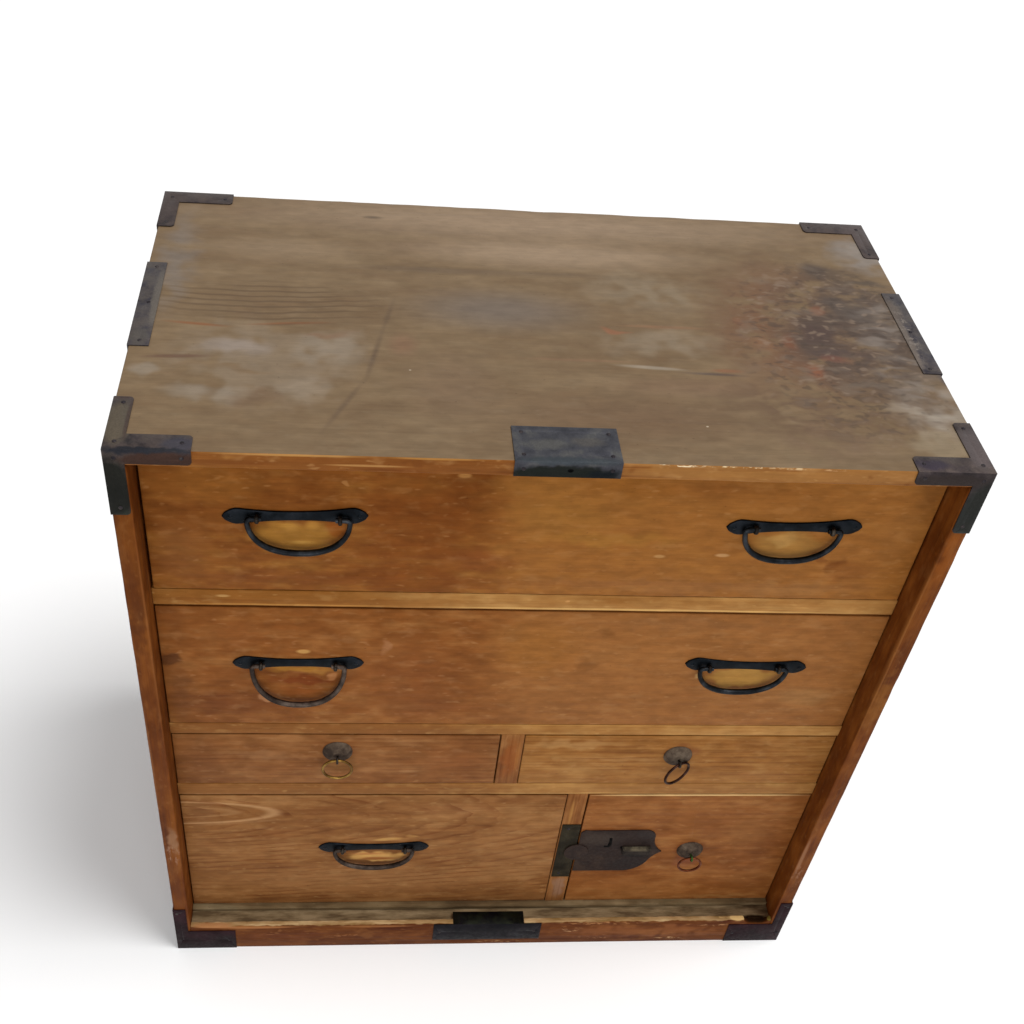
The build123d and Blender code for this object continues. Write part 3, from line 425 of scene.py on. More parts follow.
def top_wood():
    """Weathered top: grey-brown bare softwood, a tide line and a few fine growth lines at the left,
    and a scorched, rust-stained patch at the right, mottled where the old finish came off."""
    material, tree, place = begin("weathered_softwood_top")
    grain = Grain(X, (0, 60, 690), 10.0, 0.0, 0.3, 0.09, dabs=0.1, tooth=0.14, tear=6.0)
    colour, height, streak = grown(tree, place, ("6c563e", "756047", "7e694f", "8e7c66"), grain, TOP_MARKS)
    torn = ragged(tree, place, 40.0, 5.0)
    swirled = ragged(tree, place, 26.0, 2.2)

    def region(x, y, wide, deep, soft):
        near = add(tree, "Mapping", WITHIN_SIZE, Vector=torn, Location=(x, y, TOP), Scale=(wide, deep, 40.0))
        ball = add(tree, "TexGradient", BALL, Vector=near)
        return add(tree, "MapRange", SMOOTH, Value=ball, From_Max=soft)

    arcs = add(tree, "Mapping", WITHIN_SIZE, Vector=place, Location=(-280.0, 800.0, 0.0))
    arcs = add(tree, "TexWave", {"wave_type": "RINGS", "rings_direction": "Z"}, Vector=arcs,
               Scale=RING_SCALE / 9.0, Distortion=4.0, Detail=2.0, Detail_Scale=0.5)
    cloud = spots(tree, place, (40.0, 30.0, 30.0), 3.0, 0.6)
    blot = spots(tree, swirled, (30.0, 17.0, 20.0), 2.0, 0.5)
    fleck = spots(tree, swirled, (12.0, 8.0, 9.0), 1.0)
    curl = spots(tree, swirled, (34.0, 12.0, 14.0), 1.0)
    stain = region(292, -20, 134, 190, 0.45)
    for tone, pattern, low, high, amount, where in (
            ("5e4b37", arcs, 0.55, 0.95, 0.75, (-260, 12, 150, 46, 0.6)),
            ("6d4d38", cloud, 0.28, 0.58, 0.85, (254, 0, 122, 160, 0.7)),
            ("624c3a", blot, 0.4, 0.6, 0.8, (262, -126, 150, 72, 0.7)),
            ("4f4138", cloud, 0.28, 0.56, 0.95, (310, 2, 100, 144, 0.55)),
            ("645b55", blot, 0.36, 0.64, 0.6, (352, -6, 44, 100, 0.6))):
        colour, _ = laid(tree, colour, tone, pattern, low, high, amount, region(*where))
    crumbs = add(tree, "MapRange", SMOOTH, Value=fleck, From_Min=0.45, From_Max=0.55)
    colour = marked(tree, colour, place, torn, crumbs, STAIN_MARKS)
    for tone, pattern, low, high, amount in (
            ("41362f", fleck, 0.46, 0.3, 0.5), ("77685a", blot, 0.5, 0.68, 0.4),
            ("8a7664", fleck, 0.56, 0.76, 0.5)):
        colour, _ = laid(tree, colour, tone, pattern, low, high, amount, stain)
    colour, bare = laid(tree, colour, "857a71", curl, 0.5, 0.7, 0.5, region(352, -28, 52, 125, 0.5))
    rough = add(tree, "MapRange", Value=streak, **SPAN, To_Min=0.6, To_Max=0.8)
    height = add(tree, "Math", MINUS, Value=height, Value_001=bare)
    complete(tree, height, grain.tooth, Base_Color=colour, Roughness=rough, IOR=1.5, Specular_IOR_Level=0.2)
    return material


# Front edge of the top: oiled once, now knocked and rubbed to bare pale wood along the arris.
EDGE_GRAIN = Grain(X, (0, -100, 830), 5.0, 0.4, 0.45, 0.06, dabs=0.3, tooth=0.14, tear=3.0)
edge_wood = board_wood("oiled_softwood_top_edge", ("6a3d19", "804f25", "9a672f", "b88a55"), EDGE_GRAIN,
                       EDGE_MARKS)
# Side boards: thin red-brown lacquer, darkest in the recess and dusty low down.
CASE_GRAIN = Grain(Z, (-330, -60, 0), 7.0, 0.3, 0.3, 0.06, tear=3.0)
case_wood = board_wood("red_brown_lacquered_softwood", ("482009", "60310f", "7a4519", "8f5f34"), CASE_GRAIN,
                       CASE_MARKS)
SILL_GRAIN = Grain(X, (0, -150, -60), 8.0, 0.25, 0.2, 0.05, dabs=0.25, tooth=0.14)


def sill_wood():
    """Sill: red-brown front, a lip rubbed back to pale wood, and a dirty olive-brown groove."""
    material, tree, place = begin("worn_softwood_sill")
    tones = ("48200f", "5b3014", "6f3f1c", "986436")
    colour, height, streak = grown(tree, place, tones, SILL_GRAIN, SILL_MARKS)
    torn = ragged(tree, place, 9.0, 0.5)
    rise = add(tree, "SeparateXYZ", None, "Z", Vector=torn)
    behind = rise.node.outputs["Y"]
    dirt = spots(tree, place, (40.0, 9.0, 9.0), 4.0, 0.6)
    olive = {"stops": ((0.38, "5c4b36"), (0.5, "7a674c"), (0.64, "927e60"))}
    pale = {"stops": ((0.36, "86683f"), (0.5, "a5845a"), (0.64, "c2a478"))}
    groove = add(tree, "ValToRGB", olive, Fac=dirt)
    lip = add(tree, "ValToRGB", pale, Fac=dirt)
    off_front = add(tree, "MapRange", SMOOTH, Value=behind, From_Min=FRONT + 0.1, From_Max=FRONT + 1.5)
    colour, _ = laid(tree, colour, lip, rise, SILL_TOP - 2.0, SILL_TOP - 0.8, 1.0, off_front)
    colour, _ = laid(tree, colour, groove, behind, FRONT + 6.3, FRONT + 7.5)
    crumbs = add(tree, "MapRange", SMOOTH, From_Min=0.48, From_Max=0.56,
                 Value=spots(tree, place, (9.0, 4.0, 3.0), 3.0, 0.6))
    colour = marked(tree, colour, place, torn, crumbs, LIP_MARKS)
    rough = add(tree, "MapRange", Value=streak, **SPAN, To_Min=0.5, To_Max=0.75)
    complete(tree, height, SILL_GRAIN.tooth, Base_Color=colour, Roughness=rough, IOR=1.5,
             Specular_IOR_Level=0.15, Specular_Tint=AMBER)
    return material


# Ground board behind the sill: bare wood gone olive with dirt that shoes and brooms pushed in.
groove_wood = board_wood("dirty_softwood_ground_board", ("4c3c29", "655239", "7d694c", "948062"), SILL_GRAIN,
                         GROOVE_MARKS, (0.55, 0.75), srgb("c0b090"))
# Rails: the same oil worn through by the drawers to a golden wood.
RAIL_GRAIN = Grain(X, (0, -120, 560), 6.0, 0.2, 0.3, 0.08, dabs=0.15, tear=3.0)
rail_wood = board_wood("golden_oiled_softwood_rail", ("8c5c2b", "a2733e", "b5884f", "cfa466"), RAIL_GRAIN,
                       RAIL_MARKS)
# Dividers: upright grain, redder where the lacquer is still on.
DIVIDER_GRAIN = Grain(Z, (20, -160, 0), 6.0, 0.4, 0.35, 0.05, tear=3.0)
divider_wood = board_wood("orange_brown_softwood_divider", ("6a3d1e", "82532c", "98683c", "ac7d50"),
                          DIVIDER_GRAIN, DIVIDER_MARKS)
# Paulownia that was never finished: pale, dry and matt, browner on the back.
INNER_GRAIN = Grain(X, (0, 40, 300), 8.0, 0.3, 0.4, 0.04, dabs=0.08, tooth=0.14)
WALL_GRAIN = INNER_GRAIN._replace(along=Y, pith=(60, 0, 300))
BARE_TONES = ("96784f", "a98b65", "b99c78", "cbb28e")
DRY = (0.65, 0.8)
BARE_SHEEN = srgb("e0d0b8")
inner_wood = board_wood("unfinished_paulownia", BARE_TONES, INNER_GRAIN, (), DRY, BARE_SHEEN)
wall_wood = board_wood("unfinished_paulownia_along_the_sides", BARE_TONES, WALL_GRAIN, (), DRY, BARE_SHEEN)
back_wood = board_wood("aged_bare_paulownia_back", ("755a40", "886a4b", "9b7d5b", "ab906b"), INNER_GRAIN, (),
                       (0.65, 0.85), BARE_SHEEN)
# Drawer fronts: paulownia rubbed with brown oil, cloudy, and handled bright round the pulls.
DRAWER_FINISHES = {
    "top_drawer": (
        ("6a3a13", "7b481c", "8f5d28", "b07e4a"), Grain(X, (0, -90, 700), 9.0, 0.12, 0.1, 0.13),
        TOP_DRAWER_MARKS),
    "second_drawer": (
        ("6b3c18", "7d4a21", "905e31", "b08254"), Grain(X, (0, -80, 520), 9.0, 0.12, 0.1, 0.13),
        SECOND_DRAWER_MARKS),
    "left_small_drawer": (
        ("6b4020", "7c4e29", "8f6139", "a87c52"), Grain(X, (0, -70, 150), 6.0, 0.35, 0.3, 0.12),
        LEFT_SMALL_MARKS),
    "right_small_drawer": (
        ("7a4c22", "8e5e2e", "a27542", "b88c58"), Grain(X, (0, -90, 180), 7.0, 0.35, 0.35, 0.09),
        RIGHT_SMALL_MARKS),
    "lower_left_drawer": (
        ("704524", "82562f", "966a40", "b08858"),
        Grain(X, (-330, -162, 233), 8.0, 0.45, 0.3, 0.1, lean=12.0), LOWER_LEFT_MARKS),
    "locking_drawer": (
        ("6c3c18", "824f26", "956336", "ac7c4c"), Grain(X, (0, -90, 60), 9.0, 0.2, 0.2, 0.1), LOCKING_MARKS),
}
drawer_woods = {drawer: board_wood(f"oiled_paulownia_{drawer}", *finish)
                for drawer, finish in DRAWER_FINISHES.items()}


# ---- Metal --------------------------------------------------------------------------
def old_metal(name, tones, spot, rough, dust_and_highlight=None, laid_marks=(), bare=1.0, tooth=0.12):
    """Old metal under lacquer, rust and grease: cloudy tones from dark to light in spots of that
    size, fine pits, a roughness range, dust on what faces up, which on the knob and the rosettes
    also stands in for a painted highlight, and how far it shines as bare."""
    material, tree, place = begin(name)
    torn = ragged(tree, place, 8.0, 1.0)
    cloud = spots(tree, torn, (spot * 2,) * 3, 4.0, 0.6)
    dark, body, light = tones
    colour = add(tree, "ValToRGB", {"stops": ((0.36, dark), (0.5, body), (0.66, light))}, Fac=cloud)
    pits = spots(tree, place, (1.3,) * 3, 3.0, 0.6)
    scale = spots(tree, place, (4.0,) * 3, 3.0, 0.6)
    crumbs = add(tree, "MapRange", SMOOTH, Value=scale, From_Min=0.5, From_Max=0.6)
    # Upward faces get a paler tone: dust, and on the knob and the rosettes also a painted highlight.
    if dust_and_highlight:
        facing = add(tree, "SeparateXYZ", None, "Z", Vector=add(tree, "TexCoord", None, "Normal"))
        facing_up = add(tree, "MapRange", SMOOTH, Value=facing, From_Min=0.35, From_Max=0.95)
        thick = spots(tree, torn, (14.0,) * 3, 4.0, 0.6)
        colour, _ = laid(tree, colour, dust_and_highlight, thick, 0.3, 0.66, 0.9, facing_up)
    colour = marked(tree, colour, place, torn, crumbs, laid_marks)
    shade = add(tree, "MapRange", Value=pits, **SPAN, To_Min=0.85, To_Max=1.15)
    colour = add(tree, "HueSaturation", Color=colour, Value=shade)
    roughness = add(tree, "MapRange", Value=scale, **SPAN, To_Min=rough[0], To_Max=rough[1])
    height = add(tree, "Math", TIMES_PLUS, Value=pits, Value_001=0.35, Value_002=scale)
    complete(tree, height, tooth, Base_Color=colour, Roughness=roughness, Metallic=bare,
             Specular_IOR_Level=0.5 * bare)
    return material


CORNER_MARKS = marks(
    edge_mark,
    (-371, -178, TOP, 16, 34, 12, "5a5144", 0.9, 0.4), (-363, -175, TOP, 3, 36, 12, "42332f", 0.7),
    (-372, -143, TOP, 12, 4, 12, "42332f", 0.7), (-318, -204, TOP, 20, 12, 9, "3c3c46", 0.7),
    (-345, -213, TOP, 60, 5, 5, "22252b", 0.85), (-332, -216, 779, 46, 9, 11, "3a2a24", 0.95, 0.35),
    (-374, -216, 745, 20, 9, 46, "1c1d1a", 0.95, 0.3), (-368, -216, 715, 14, 9, 11, "2d322b"),
    (371, -180, TOP, 16, 36, 12, "5a5150", 0.85, 0.5), (322, -204, TOP, 24, 10, 9, "37313c"),
    (340, -216, 779, 46, 9, 11, "332c2a", 0.9, 0.4), (374, -216, 742, 20, 9, 46, "262825", 0.9, 0.4),
    (371, -216, 712, 14, 9, 11, "3e4643", 0.7), (-372, 196, TOP, 20, 40, 12, "4a403d"),
    (368, 196, TOP, 26, 40, 12, "544a48"))
# The last mark, a near-black dot, is painted shade standing for a small hole.
CENTRE_MARKS = marks(
    edge_mark,
    (0, -217, 776, 62, 9, 13, "191c18", 0.95, 0.3), (35, -217, 775, 26, 9, 12, "13171b", 0.85),
    (2, -212, TOP + 1, 62, 7, 5, "393e42", 0.85, 0.5), (-12, -190, TOP, 22, 9, 9, "5c5a55", 0.6),
    (22, -186, TOP, 20, 9, 9, "57524c", 0.6), (5, -214, 780.5, 3, 5, 2.4, "050505", 1.0, 0.3))
STRAP_MARKS = marks(
    edge_mark,
    (357, -8, TOP, 11, 76, 12, "6c625a", 0.9, 0.4), (362, 44, TOP, 12, 24, 12, "665b52"),
    (366, 0, TOP, 8, 60, 12, "7d746c", 0.8, 0.6, True), (-361, 10, TOP, 7, 62, 12, "665f57", 0.8, 0.5),
    (-370, -52, TOP, 12, 18, 12, "55504b", 0.7))
# The second mark, just below the knob, is a painted shadow of the knob.
LOCK_MARKS = marks(
    edge_mark,
    (170, -184, 132, 48, 10, 22, "221a19", 0.85), (172, -184, 151, 24, 10, 6, "16110f", 0.9),
    (122, -184, 188, 36, 10, 20, "3a2f28", 0.8, 0.8), (182, -184, 196, 22, 10, 12, "2c2422", 0.7, 0.7))
ROSETTES = ((-186.8, 353.0), (190.0, 352.0), (238.0, 161.0))
# Painted shade on the lower half of each domed rosette, below its crown.
ROSETTE_PAINTED_SHADE = [edge_mark(x, -187, z - 12, 18, 14, 11, "1d1512", 0.85, 0.8) for x, z in ROSETTES]

# Sheet iron under black lacquer: brown-black and dusty on the corners, plum-black at the feet, faded
# grey on the straps, slate on the centre plate, near black on the sill, greenish on the keeper.
corner_iron = old_metal("lacquered_sheet_iron_corners", ("2d2829", "3a3334", "4a423e"), 11.0,
                        (0.45, 0.6), "504642", CORNER_MARKS)
foot_iron = old_metal("lacquered_sheet_iron_feet", ("1e1114", "27171b", "331f24"), 12.0,
                      (0.5, 0.65), "331f24")
strap_iron = old_metal("faded_sheet_iron_straps", ("302d33", "3e3b41", "4e4a4a"), 9.0, (0.5, 0.65), "554e4a",
                       STRAP_MARKS)
centre_iron = old_metal("lacquered_sheet_iron_centre_plate", ("36363b", "424247", "51504f"), 9.0,
                        (0.45, 0.6), None, CENTRE_MARKS)
sill_iron = old_metal("lacquered_sheet_iron_sill_plate", ("0f0e13", "151318", "1f1d23"), 10.0,
                      (0.4, 0.6), "24271e")
keeper_iron = old_metal("greenish_sheet_iron_keeper", ("231f17", "2d281e", "3a3427"), 8.0, (0.55, 0.7))
# Lock: a dull brown patina that hardly shines, a knob whose top is lighter with dust and a painted
# highlight, and near-black painted shade standing for the inside of the holes.
lock_iron = old_metal("brown_patinated_iron_lock", ("201512", "281c18", "35271f"), 12.0, (0.55, 0.75), None,
                      LOCK_MARKS, bare=0.35)
knob_iron = old_metal("rubbed_iron_lock_knob", ("201b18", "2b2521", "38312a"), 9.0, (0.65, 0.8), "6b614e",
                      bare=0.15)
painted_hole_shade = old_metal("sooty_iron_inside_the_lock", ("040404", "070606", "0c0b0a"), 5.0, (0.6, 0.8))
# Forged iron: black and a little glossy on bails, plates and carrying handles, browned on the two
# oldest bails, worn to metal in the eyes and on the nail heads.
bail_plate_iron = old_metal("black_lacquered_bail_plate", ("0e1013", "13171b", "1f2227"), 8.0, (0.4, 0.55))
bail_iron = old_metal("black_forged_bail", ("131416", "1d1f22", "33363a"), 8.0, (0.35, 0.5))
brown_bail_iron = old_metal("browned_forged_bail", ("29221f", "3d342e", "584c44"), 7.0, (0.45, 0.6))
eye_iron = old_metal("rubbed_iron_eye", ("1e1b19", "2b2622", "433c34"), 5.0, (0.35, 0.55))
carry_iron = old_metal("black_forged_carrying_handle", ("1e1d20", "2a292c", "403d40"), 9.0, (0.35, 0.5))
nail_iron = old_metal("rubbed_iron_nail", ("221f22", "2f2b2e", "423c3a"), 5.0, (0.5, 0.65))
# Copper and brass of the ring pulls: a matt grey-brown patina on the rosettes, their upper side
# lighter with dust and a painted highlight and their lower half darkened by painted shade, dull gold,
# dark and reddish rings, and one eye gone green.
rosette_copper = old_metal("patinated_copper_rosette", ("352a22", "4a3d32", "625446"), 6.0, (0.55, 0.75),
                           "6b5d4e", ROSETTE_PAINTED_SHADE, bare=0.2, tooth=0.2)
ring_brass = old_metal("dull_brass_ring", ("543c1c", "725628", "8e7038"), 5.0, (0.35, 0.5))
ring_dark = old_metal("dark_copper_ring", ("20130f", "2e1c16", "46302a"), 5.0, (0.35, 0.5))
ring_red = old_metal("reddish_copper_ring", ("4c2616", "623420", "78482e"), 5.0, (0.35, 0.5))
verdigris = old_metal("verdigris_copper_eye", ("2c3a1e", "44602c", "5a7a3a"), 4.0, (0.55, 0.7))


# ---- Mesh helpers -------------------------------------------------------------------
def show(bm, name, body, material, nodes=(), crease=35.0):
    """Turns the bmesh into a piece that rides on a body and stands for its CAD nodes."""
    bmesh.ops.recalc_face_normals(bm, faces=bm.faces)
    mesh = bpy.data.meshes.new(name)
    bm.to_mesh(mesh)
    bm.free()
    mesh.shade_smooth()
    mesh.set_sharp_from_angle(angle=math.radians(crease))
    piece = bpy.data.objects.new(name, mesh)
    piece.data.materials.append(material)
    bpy.context.scene.collection.objects.link(piece)
    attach(piece, body)
    if nodes:
        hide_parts(*nodes)
    return piece


def second_finish(piece, material, chosen):
    """Gives another material to the faces whose normal is chosen."""
    piece.data.materials.append(material)
    for face in piece.data.polygons:
        face.material_index = int(chosen(face.normal))


def joined(bm, part):
    """Adds one bmesh to another."""
    mesh = bpy.data.meshes.new("part")
    part.to_mesh(mesh)
    part.free()
    bm.from_mesh(mesh)
    bpy.data.meshes.remove(mesh)


def longest_axis(low, high):
    """The axis along which a box is longest."""
    return max((X, Y, Z), key=lambda axis: high[axis] - low[axis])


def cut_every(bm, axis, step):
    """Cuts everything across an axis at even steps of about that many mm."""
    places = [v.co[axis] for v in bm.verts]
    low, high = min(places), max(places)
    count = int((high - low) / (step * MM))
    for i in range(1, count):
        at = low + (high - low) * i / count
        bmesh.ops.bisect_plane(bm, geom=bm.verts[:] + bm.edges[:] + bm.faces[:], dist=1e-6,
                               plane_co=AXES[axis] * at, plane_no=AXES[axis])


def rounded(bm, edges, width, segments):
    """Rounds these edges by that many mm."""
    bmesh.ops.bevel(bm, geom=edges, offset=width * MM, offset_type="OFFSET", segments=segments, profile=0.5,
                    affect="EDGES", material=-1, clamp_overlap=True)


def soften(bm, width, segments=2):
    """Rounds every sharp edge by that many mm."""
    sharp = [e for e in bm.edges if len(e.link_faces) == 2 and e.calc_face_angle(0.0) > math.radians(30)]
    rounded(bm, sharp, width, segments)


def knock(bm, low, high, depth, seed):
    """Wears the arrises of a box-shaped board by up to about that many mm: small dents every few
    centimetres, with a deep one here and there."""
    middle = (low + high) / 2
    reach = 2.6 * MM
    dent_size = 24.0 * MM
    for v in bm.verts:
        close = [axis for axis in (X, Y, Z) if min(v.co[axis] - low[axis], high[axis] - v.co[axis]) < reach]
        if len(close) < 2:
            continue
        place = v.co / dent_size + Vector((seed * 7.3, seed * 3.1, seed * 5.7))
        dent = 0.25 + 0.5 * noise.noise(place) + 2.2 * max(0.0, noise.noise(place * 0.37) - 0.42)
        push = depth * MM * max(0.0, dent)
        for axis in close:
            v.co[axis] += math.copysign(push, middle[axis] - v.co[axis])


def uneven(bm, reach, size, seed):
    """Moves the vertices along their normals by a little smooth noise, in mm."""
    bm.normal_update()
    for v in bm.verts:
        v.co += v.normal * reach * MM * noise.noise(v.co / (size * MM) + Vector((seed, seed, seed)))


def cad_copy(node):
    """A merged copy of a CAD node's mesh, its flat faces whole again."""
    bm = bmesh.new()
    bm.from_mesh(frame["nodes"][node].data)
    bmesh.ops.remove_doubles(bm, verts=bm.verts, dist=0.01 * MM)
    bmesh.ops.dissolve_limit(bm, angle_limit=math.radians(0.5), verts=bm.verts, edges=bm.edges)
    return bm


def islands(bm):
    """The separate parts of a mesh, each as its list of vertices, in the same order on each run."""
    seen, found = set(), []
    for start in bm.verts:
        if start in seen:
            continue
        seen.add(start)
        part = [start]
        for v in part:
            for other in (e.other_vert(v) for e in v.link_edges):
                if other not in seen:
                    seen.add(other)
                    part.append(other)
        found.append(part)
    return found


def bar(bm, stations, normal, sides=14, flat=1.0):
    """Bar along (point, radius) stations that lie in a plane, its ends closed."""
    points = [Vector(point) for point, _ in stations]
    cap = bmesh.ops.create_circle(bm, cap_ends=True, cap_tris=False, segments=sides, radius=1.0)["verts"]
    face = cap[0].link_faces[0]
    last = Matrix.Identity(4)
    for i, (_, radius) in enumerate(stations):
        run = points[min(i + 1, len(points) - 1)] - points[max(i - 1, 0)]
        across = normal.cross(run).normalized()
        turn = Matrix((across, normal, run.normalized())).transposed().to_4x4()
        here = Matrix.Translation(points[i]) @ turn @ Matrix.Diagonal((radius, radius * flat, radius, 1.0))
        if i:
            pulled = bmesh.ops.extrude_face_region(bm, geom=[face])["geom"]
            face = next(g for g in pulled if isinstance(g, bmesh.types.BMFace))
        bmesh.ops.transform(bm, matrix=here @ last.inverted(), verts=face.verts)
        last = here


def slab(bm, outline, back, depth, edge, segments=2):
    """Sheet that stands forward from its back, with a front rim that is rounded over."""
    corners = [bm.verts.new((x * MM, back, z * MM)) for x, z in outline]
    raised = bmesh.ops.extrude_face_region(bm, geom=[bm.faces.new(corners)])["geom"]
    rim = [g for g in raised if isinstance(g, bmesh.types.BMVert)]
    bmesh.ops.translate(bm, vec=(0, -depth * MM, 0), verts=rim)
    front = next(g for g in raised if isinstance(g, bmesh.types.BMFace))
    rounded(bm, list(front.edges), edge, segments)


def spun(bm, profile, place, steps=40):
    """Solid of revolution: profile points as (radius, height), spun about the axis of place."""
    verts = [bm.verts.new((radius * MM, 0.0, height * MM)) for radius, height in profile]
    edges = [bm.edges.new(pair) for pair in zip(verts, verts[1:])]
    bmesh.ops.spin(bm, geom=verts + edges, cent=(0, 0, 0), axis=(0, 0, 1), angle=2 * math.pi, steps=steps,
                   use_merge=True)
    bmesh.ops.remove_doubles(bm, verts=bm.verts, dist=0.001 * MM)
    bmesh.ops.transform(bm, matrix=place, verts=bm.verts)


def arc(start, through, end, steps):
    """Points on the circle through three points, from start to just before end."""
    (ax, ay), (bx, by), (cx, cy) = start, through, end
    d = 2 * (ax * (by - cy) + bx * (cy - ay) + cx * (ay - by))
    sa, sb, sc = ax * ax + ay * ay, bx * bx + by * by, cx * cx + cy * cy
    ox = (sa * (by - cy) + sb * (cy - ay) + sc * (ay - by)) / d
    oy = (sa * (cx - bx) + sb * (ax - cx) + sc * (bx - ax)) / d
    radius = math.hypot(ax - ox, ay - oy)
    first, middle, last = (math.atan2(y - oy, x - ox) for x, y in (start, through, end))
    sweep = (last - first) % (2 * math.pi)
    if (middle - first) % (2 * math.pi) > sweep:
        sweep -= 2 * math.pi
    turns = [first + sweep * i / steps for i in range(steps)]
    return [(ox + radius * math.cos(t), oy + radius * math.sin(t)) for t in turns]


# ---- Boards -------------------------------------------------------------------------
def board(node, material, arris, wear, shrunk=((0, 0, 0), (0, 0, 0))):
    """One plain board: cut along its length, its arrises rounded and knocked by so many mm."""
    low, high = (corner + Vector(off) * MM for corner, off in zip(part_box(node), shrunk))
    bm = bmesh.new()
    bmesh.ops.create_cube(bm, size=1.0)
    bmesh.ops.scale(bm, vec=high - low, verts=bm.verts)
    bmesh.ops.translate(bm, vec=(low + high) / 2, verts=bm.verts)
    cut_every(bm, longest_axis(low, high), 9.0)
    soften(bm, arris, 3)
    knock(bm, low, high, wear, len(node))
    return show(bm, f"{node}_planed", frame["nodes"][node]["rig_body"], material, (node,))


def fitted(node, material, arris):
    """A board with cut-outs: a copy of the CAD shape with softened edges."""
    bm = cad_copy(node)
    cut_every(bm, longest_axis(*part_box(node)), 60.0)
    soften(bm, arris)
    return show(bm, f"{node}_planed", frame["nodes"][node]["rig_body"], material, (node,))


def sill():
    """Sill rail: the lip in front of the groove is worn, and broken away near the right end."""
    bm = cad_copy("sill_rail")
    cut_every(bm, X, 6.0)
    soften(bm, 0.9)
    low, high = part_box("sill_rail")
    rubbed_x, broken_x = -335.0, 342.0
    for v in bm.verts:
        if v.co.z < high.z - 1.2 * MM or v.co.y > low.y + 8.0 * MM:
            continue
        along = v.co.x / MM
        rub = 0.5 + 0.9 * noise.noise(Vector((along / 31.0, 0.0, 4.2)))
        rub += 1.6 * max(0.0, 1.0 - abs(along - rubbed_x) / 30.0)
        broken = max(0.0, min(1.0, (16.0 - abs(along - broken_x)) / 4.0))
        v.co.z -= (max(0.1, rub) * 0.6 + 6.5 * broken) * MM
        v.co.y += (max(0.0, rub) * 0.35) * MM
    return show(bm, "sill_rail_worn", "case", sill_wood(), ("sill_rail",))


top = board("top_board", top_wood(), 1.4, 0.6)
second_finish(top, edge_wood, lambda normal: normal.y < -0.6)
for side in ("left", "right"):
    board(f"{side}_side_board", case_wood, 1.4, 0.5)
for level in ("lower", "middle", "upper"):
    board(f"{level}_rail", rail_wood, 0.8, 0.3)
    board(f"{level}_shelf", inner_wood, 0.5, 0.1)
board("bottom_board", groove_wood, 0.8, 0.3)
board("back_foot_rail", back_wood, 0.8, 0.2)

# Plain drawer fronts, and the mm by which each has shrunk at its low and at its high corner.
SHRUNK = {
    "top_drawer": ((1.2, 0, 0), (0, 0, 0)),
    "second_drawer": ((0, 0, 0), (0, 0, -0.7)),
    "left_small_drawer": ((0, 0, 0), (-0.6, 0, 0)),
    "right_small_drawer": ((0, 0, 0), (0, 0, 0)),
    "lower_left_drawer": ((0, 0, 0), (0, 0, -0.6)),
}
for drawer, shrunk in SHRUNK.items():
    board(f"{drawer}_front", drawer_woods[drawer], 1.2, 0.4, shrunk)

fitted("back_planks", back_wood, 0.8)
fitted("upper_divider", divider_wood, 0.6)
fitted("lower_divider", divider_wood, 0.3)
fitted("locking_drawer_front", drawer_woods["locking_drawer"], 0.3)
for drawer in drawer_woods:
    walls = fitted(f"{drawer}_walls", inner_wood, 0.7)
    second_finish(walls, wall_wood, lambda normal: abs(normal.x) > 0.6)
    fitted(f"{drawer}_bottom", inner_wood, 0.4)
sill()


# ---- Irons on the case --------------------------------------------------------------
def iron(node, material):
    """Sheet fitting: a copy of the CAD shape, cut where it is long, with rounded rims."""
    bm = cad_copy(node)
    low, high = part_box(node)
    step = 40.0
    for axis in (X, Y, Z):
        if high[axis] - low[axis] > 3 * step * MM:
            cut_every(bm, axis, step)
    soften(bm, 0.3)
    return show(bm, f"{node}_forged", "case", material, (node,))


def domed_head(bm, place, outwards, radius, rise):
    """Low domed nail head standing on a point of a surface, in mm."""
    made = bmesh.ops.create_uvsphere(bm, u_segments=10, v_segments=6, radius=1.0)["verts"]
    turn = outwards.to_track_quat("Z", "Y").to_matrix().to_4x4()
    size = Matrix.Diagonal((radius * MM, radius * MM, rise * MM, 1.0))
    bmesh.ops.transform(bm, matrix=Matrix.Translation(place) @ turn @ size, verts=made)


def iron_nails():
    """The heads of all the nails of the irons, where the CAD nails are."""
    source = cad_copy("iron_nails")
    bm = bmesh.new()
    for part in islands(source):
        low = Vector([min(v.co[axis] for v in part) for axis in (X, Y, Z)])
        high = Vector([max(v.co[axis] for v in part) for axis in (X, Y, Z)])
        axis = longest_axis(low, high)
        head = (low + high) / 2
        outwards = AXES[axis] * (1.0 if axis == Z or head[axis] > 0 else -1.0)
        tip = high[axis] if outwards[axis] > 0 else low[axis]
        head[axis] = tip - 0.62 * MM * outwards[axis]
        domed_head(bm, head, outwards, 2.0, 0.6)
    source.free()
    return show(bm, "iron_nail_heads", "case", nail_iron, ("iron_nails",), 60.0)


for node, finish in (
        ("top_front_corner_irons", corner_iron), ("top_back_corner_irons", corner_iron),
        ("foot_corner_irons", foot_iron), ("top_edge_straps", strap_iron), ("top_centre_plate", centre_iron),
        ("sill_plate", sill_iron), ("keeper_plate", keeper_iron)):
    iron(node, finish)
iron_nails()


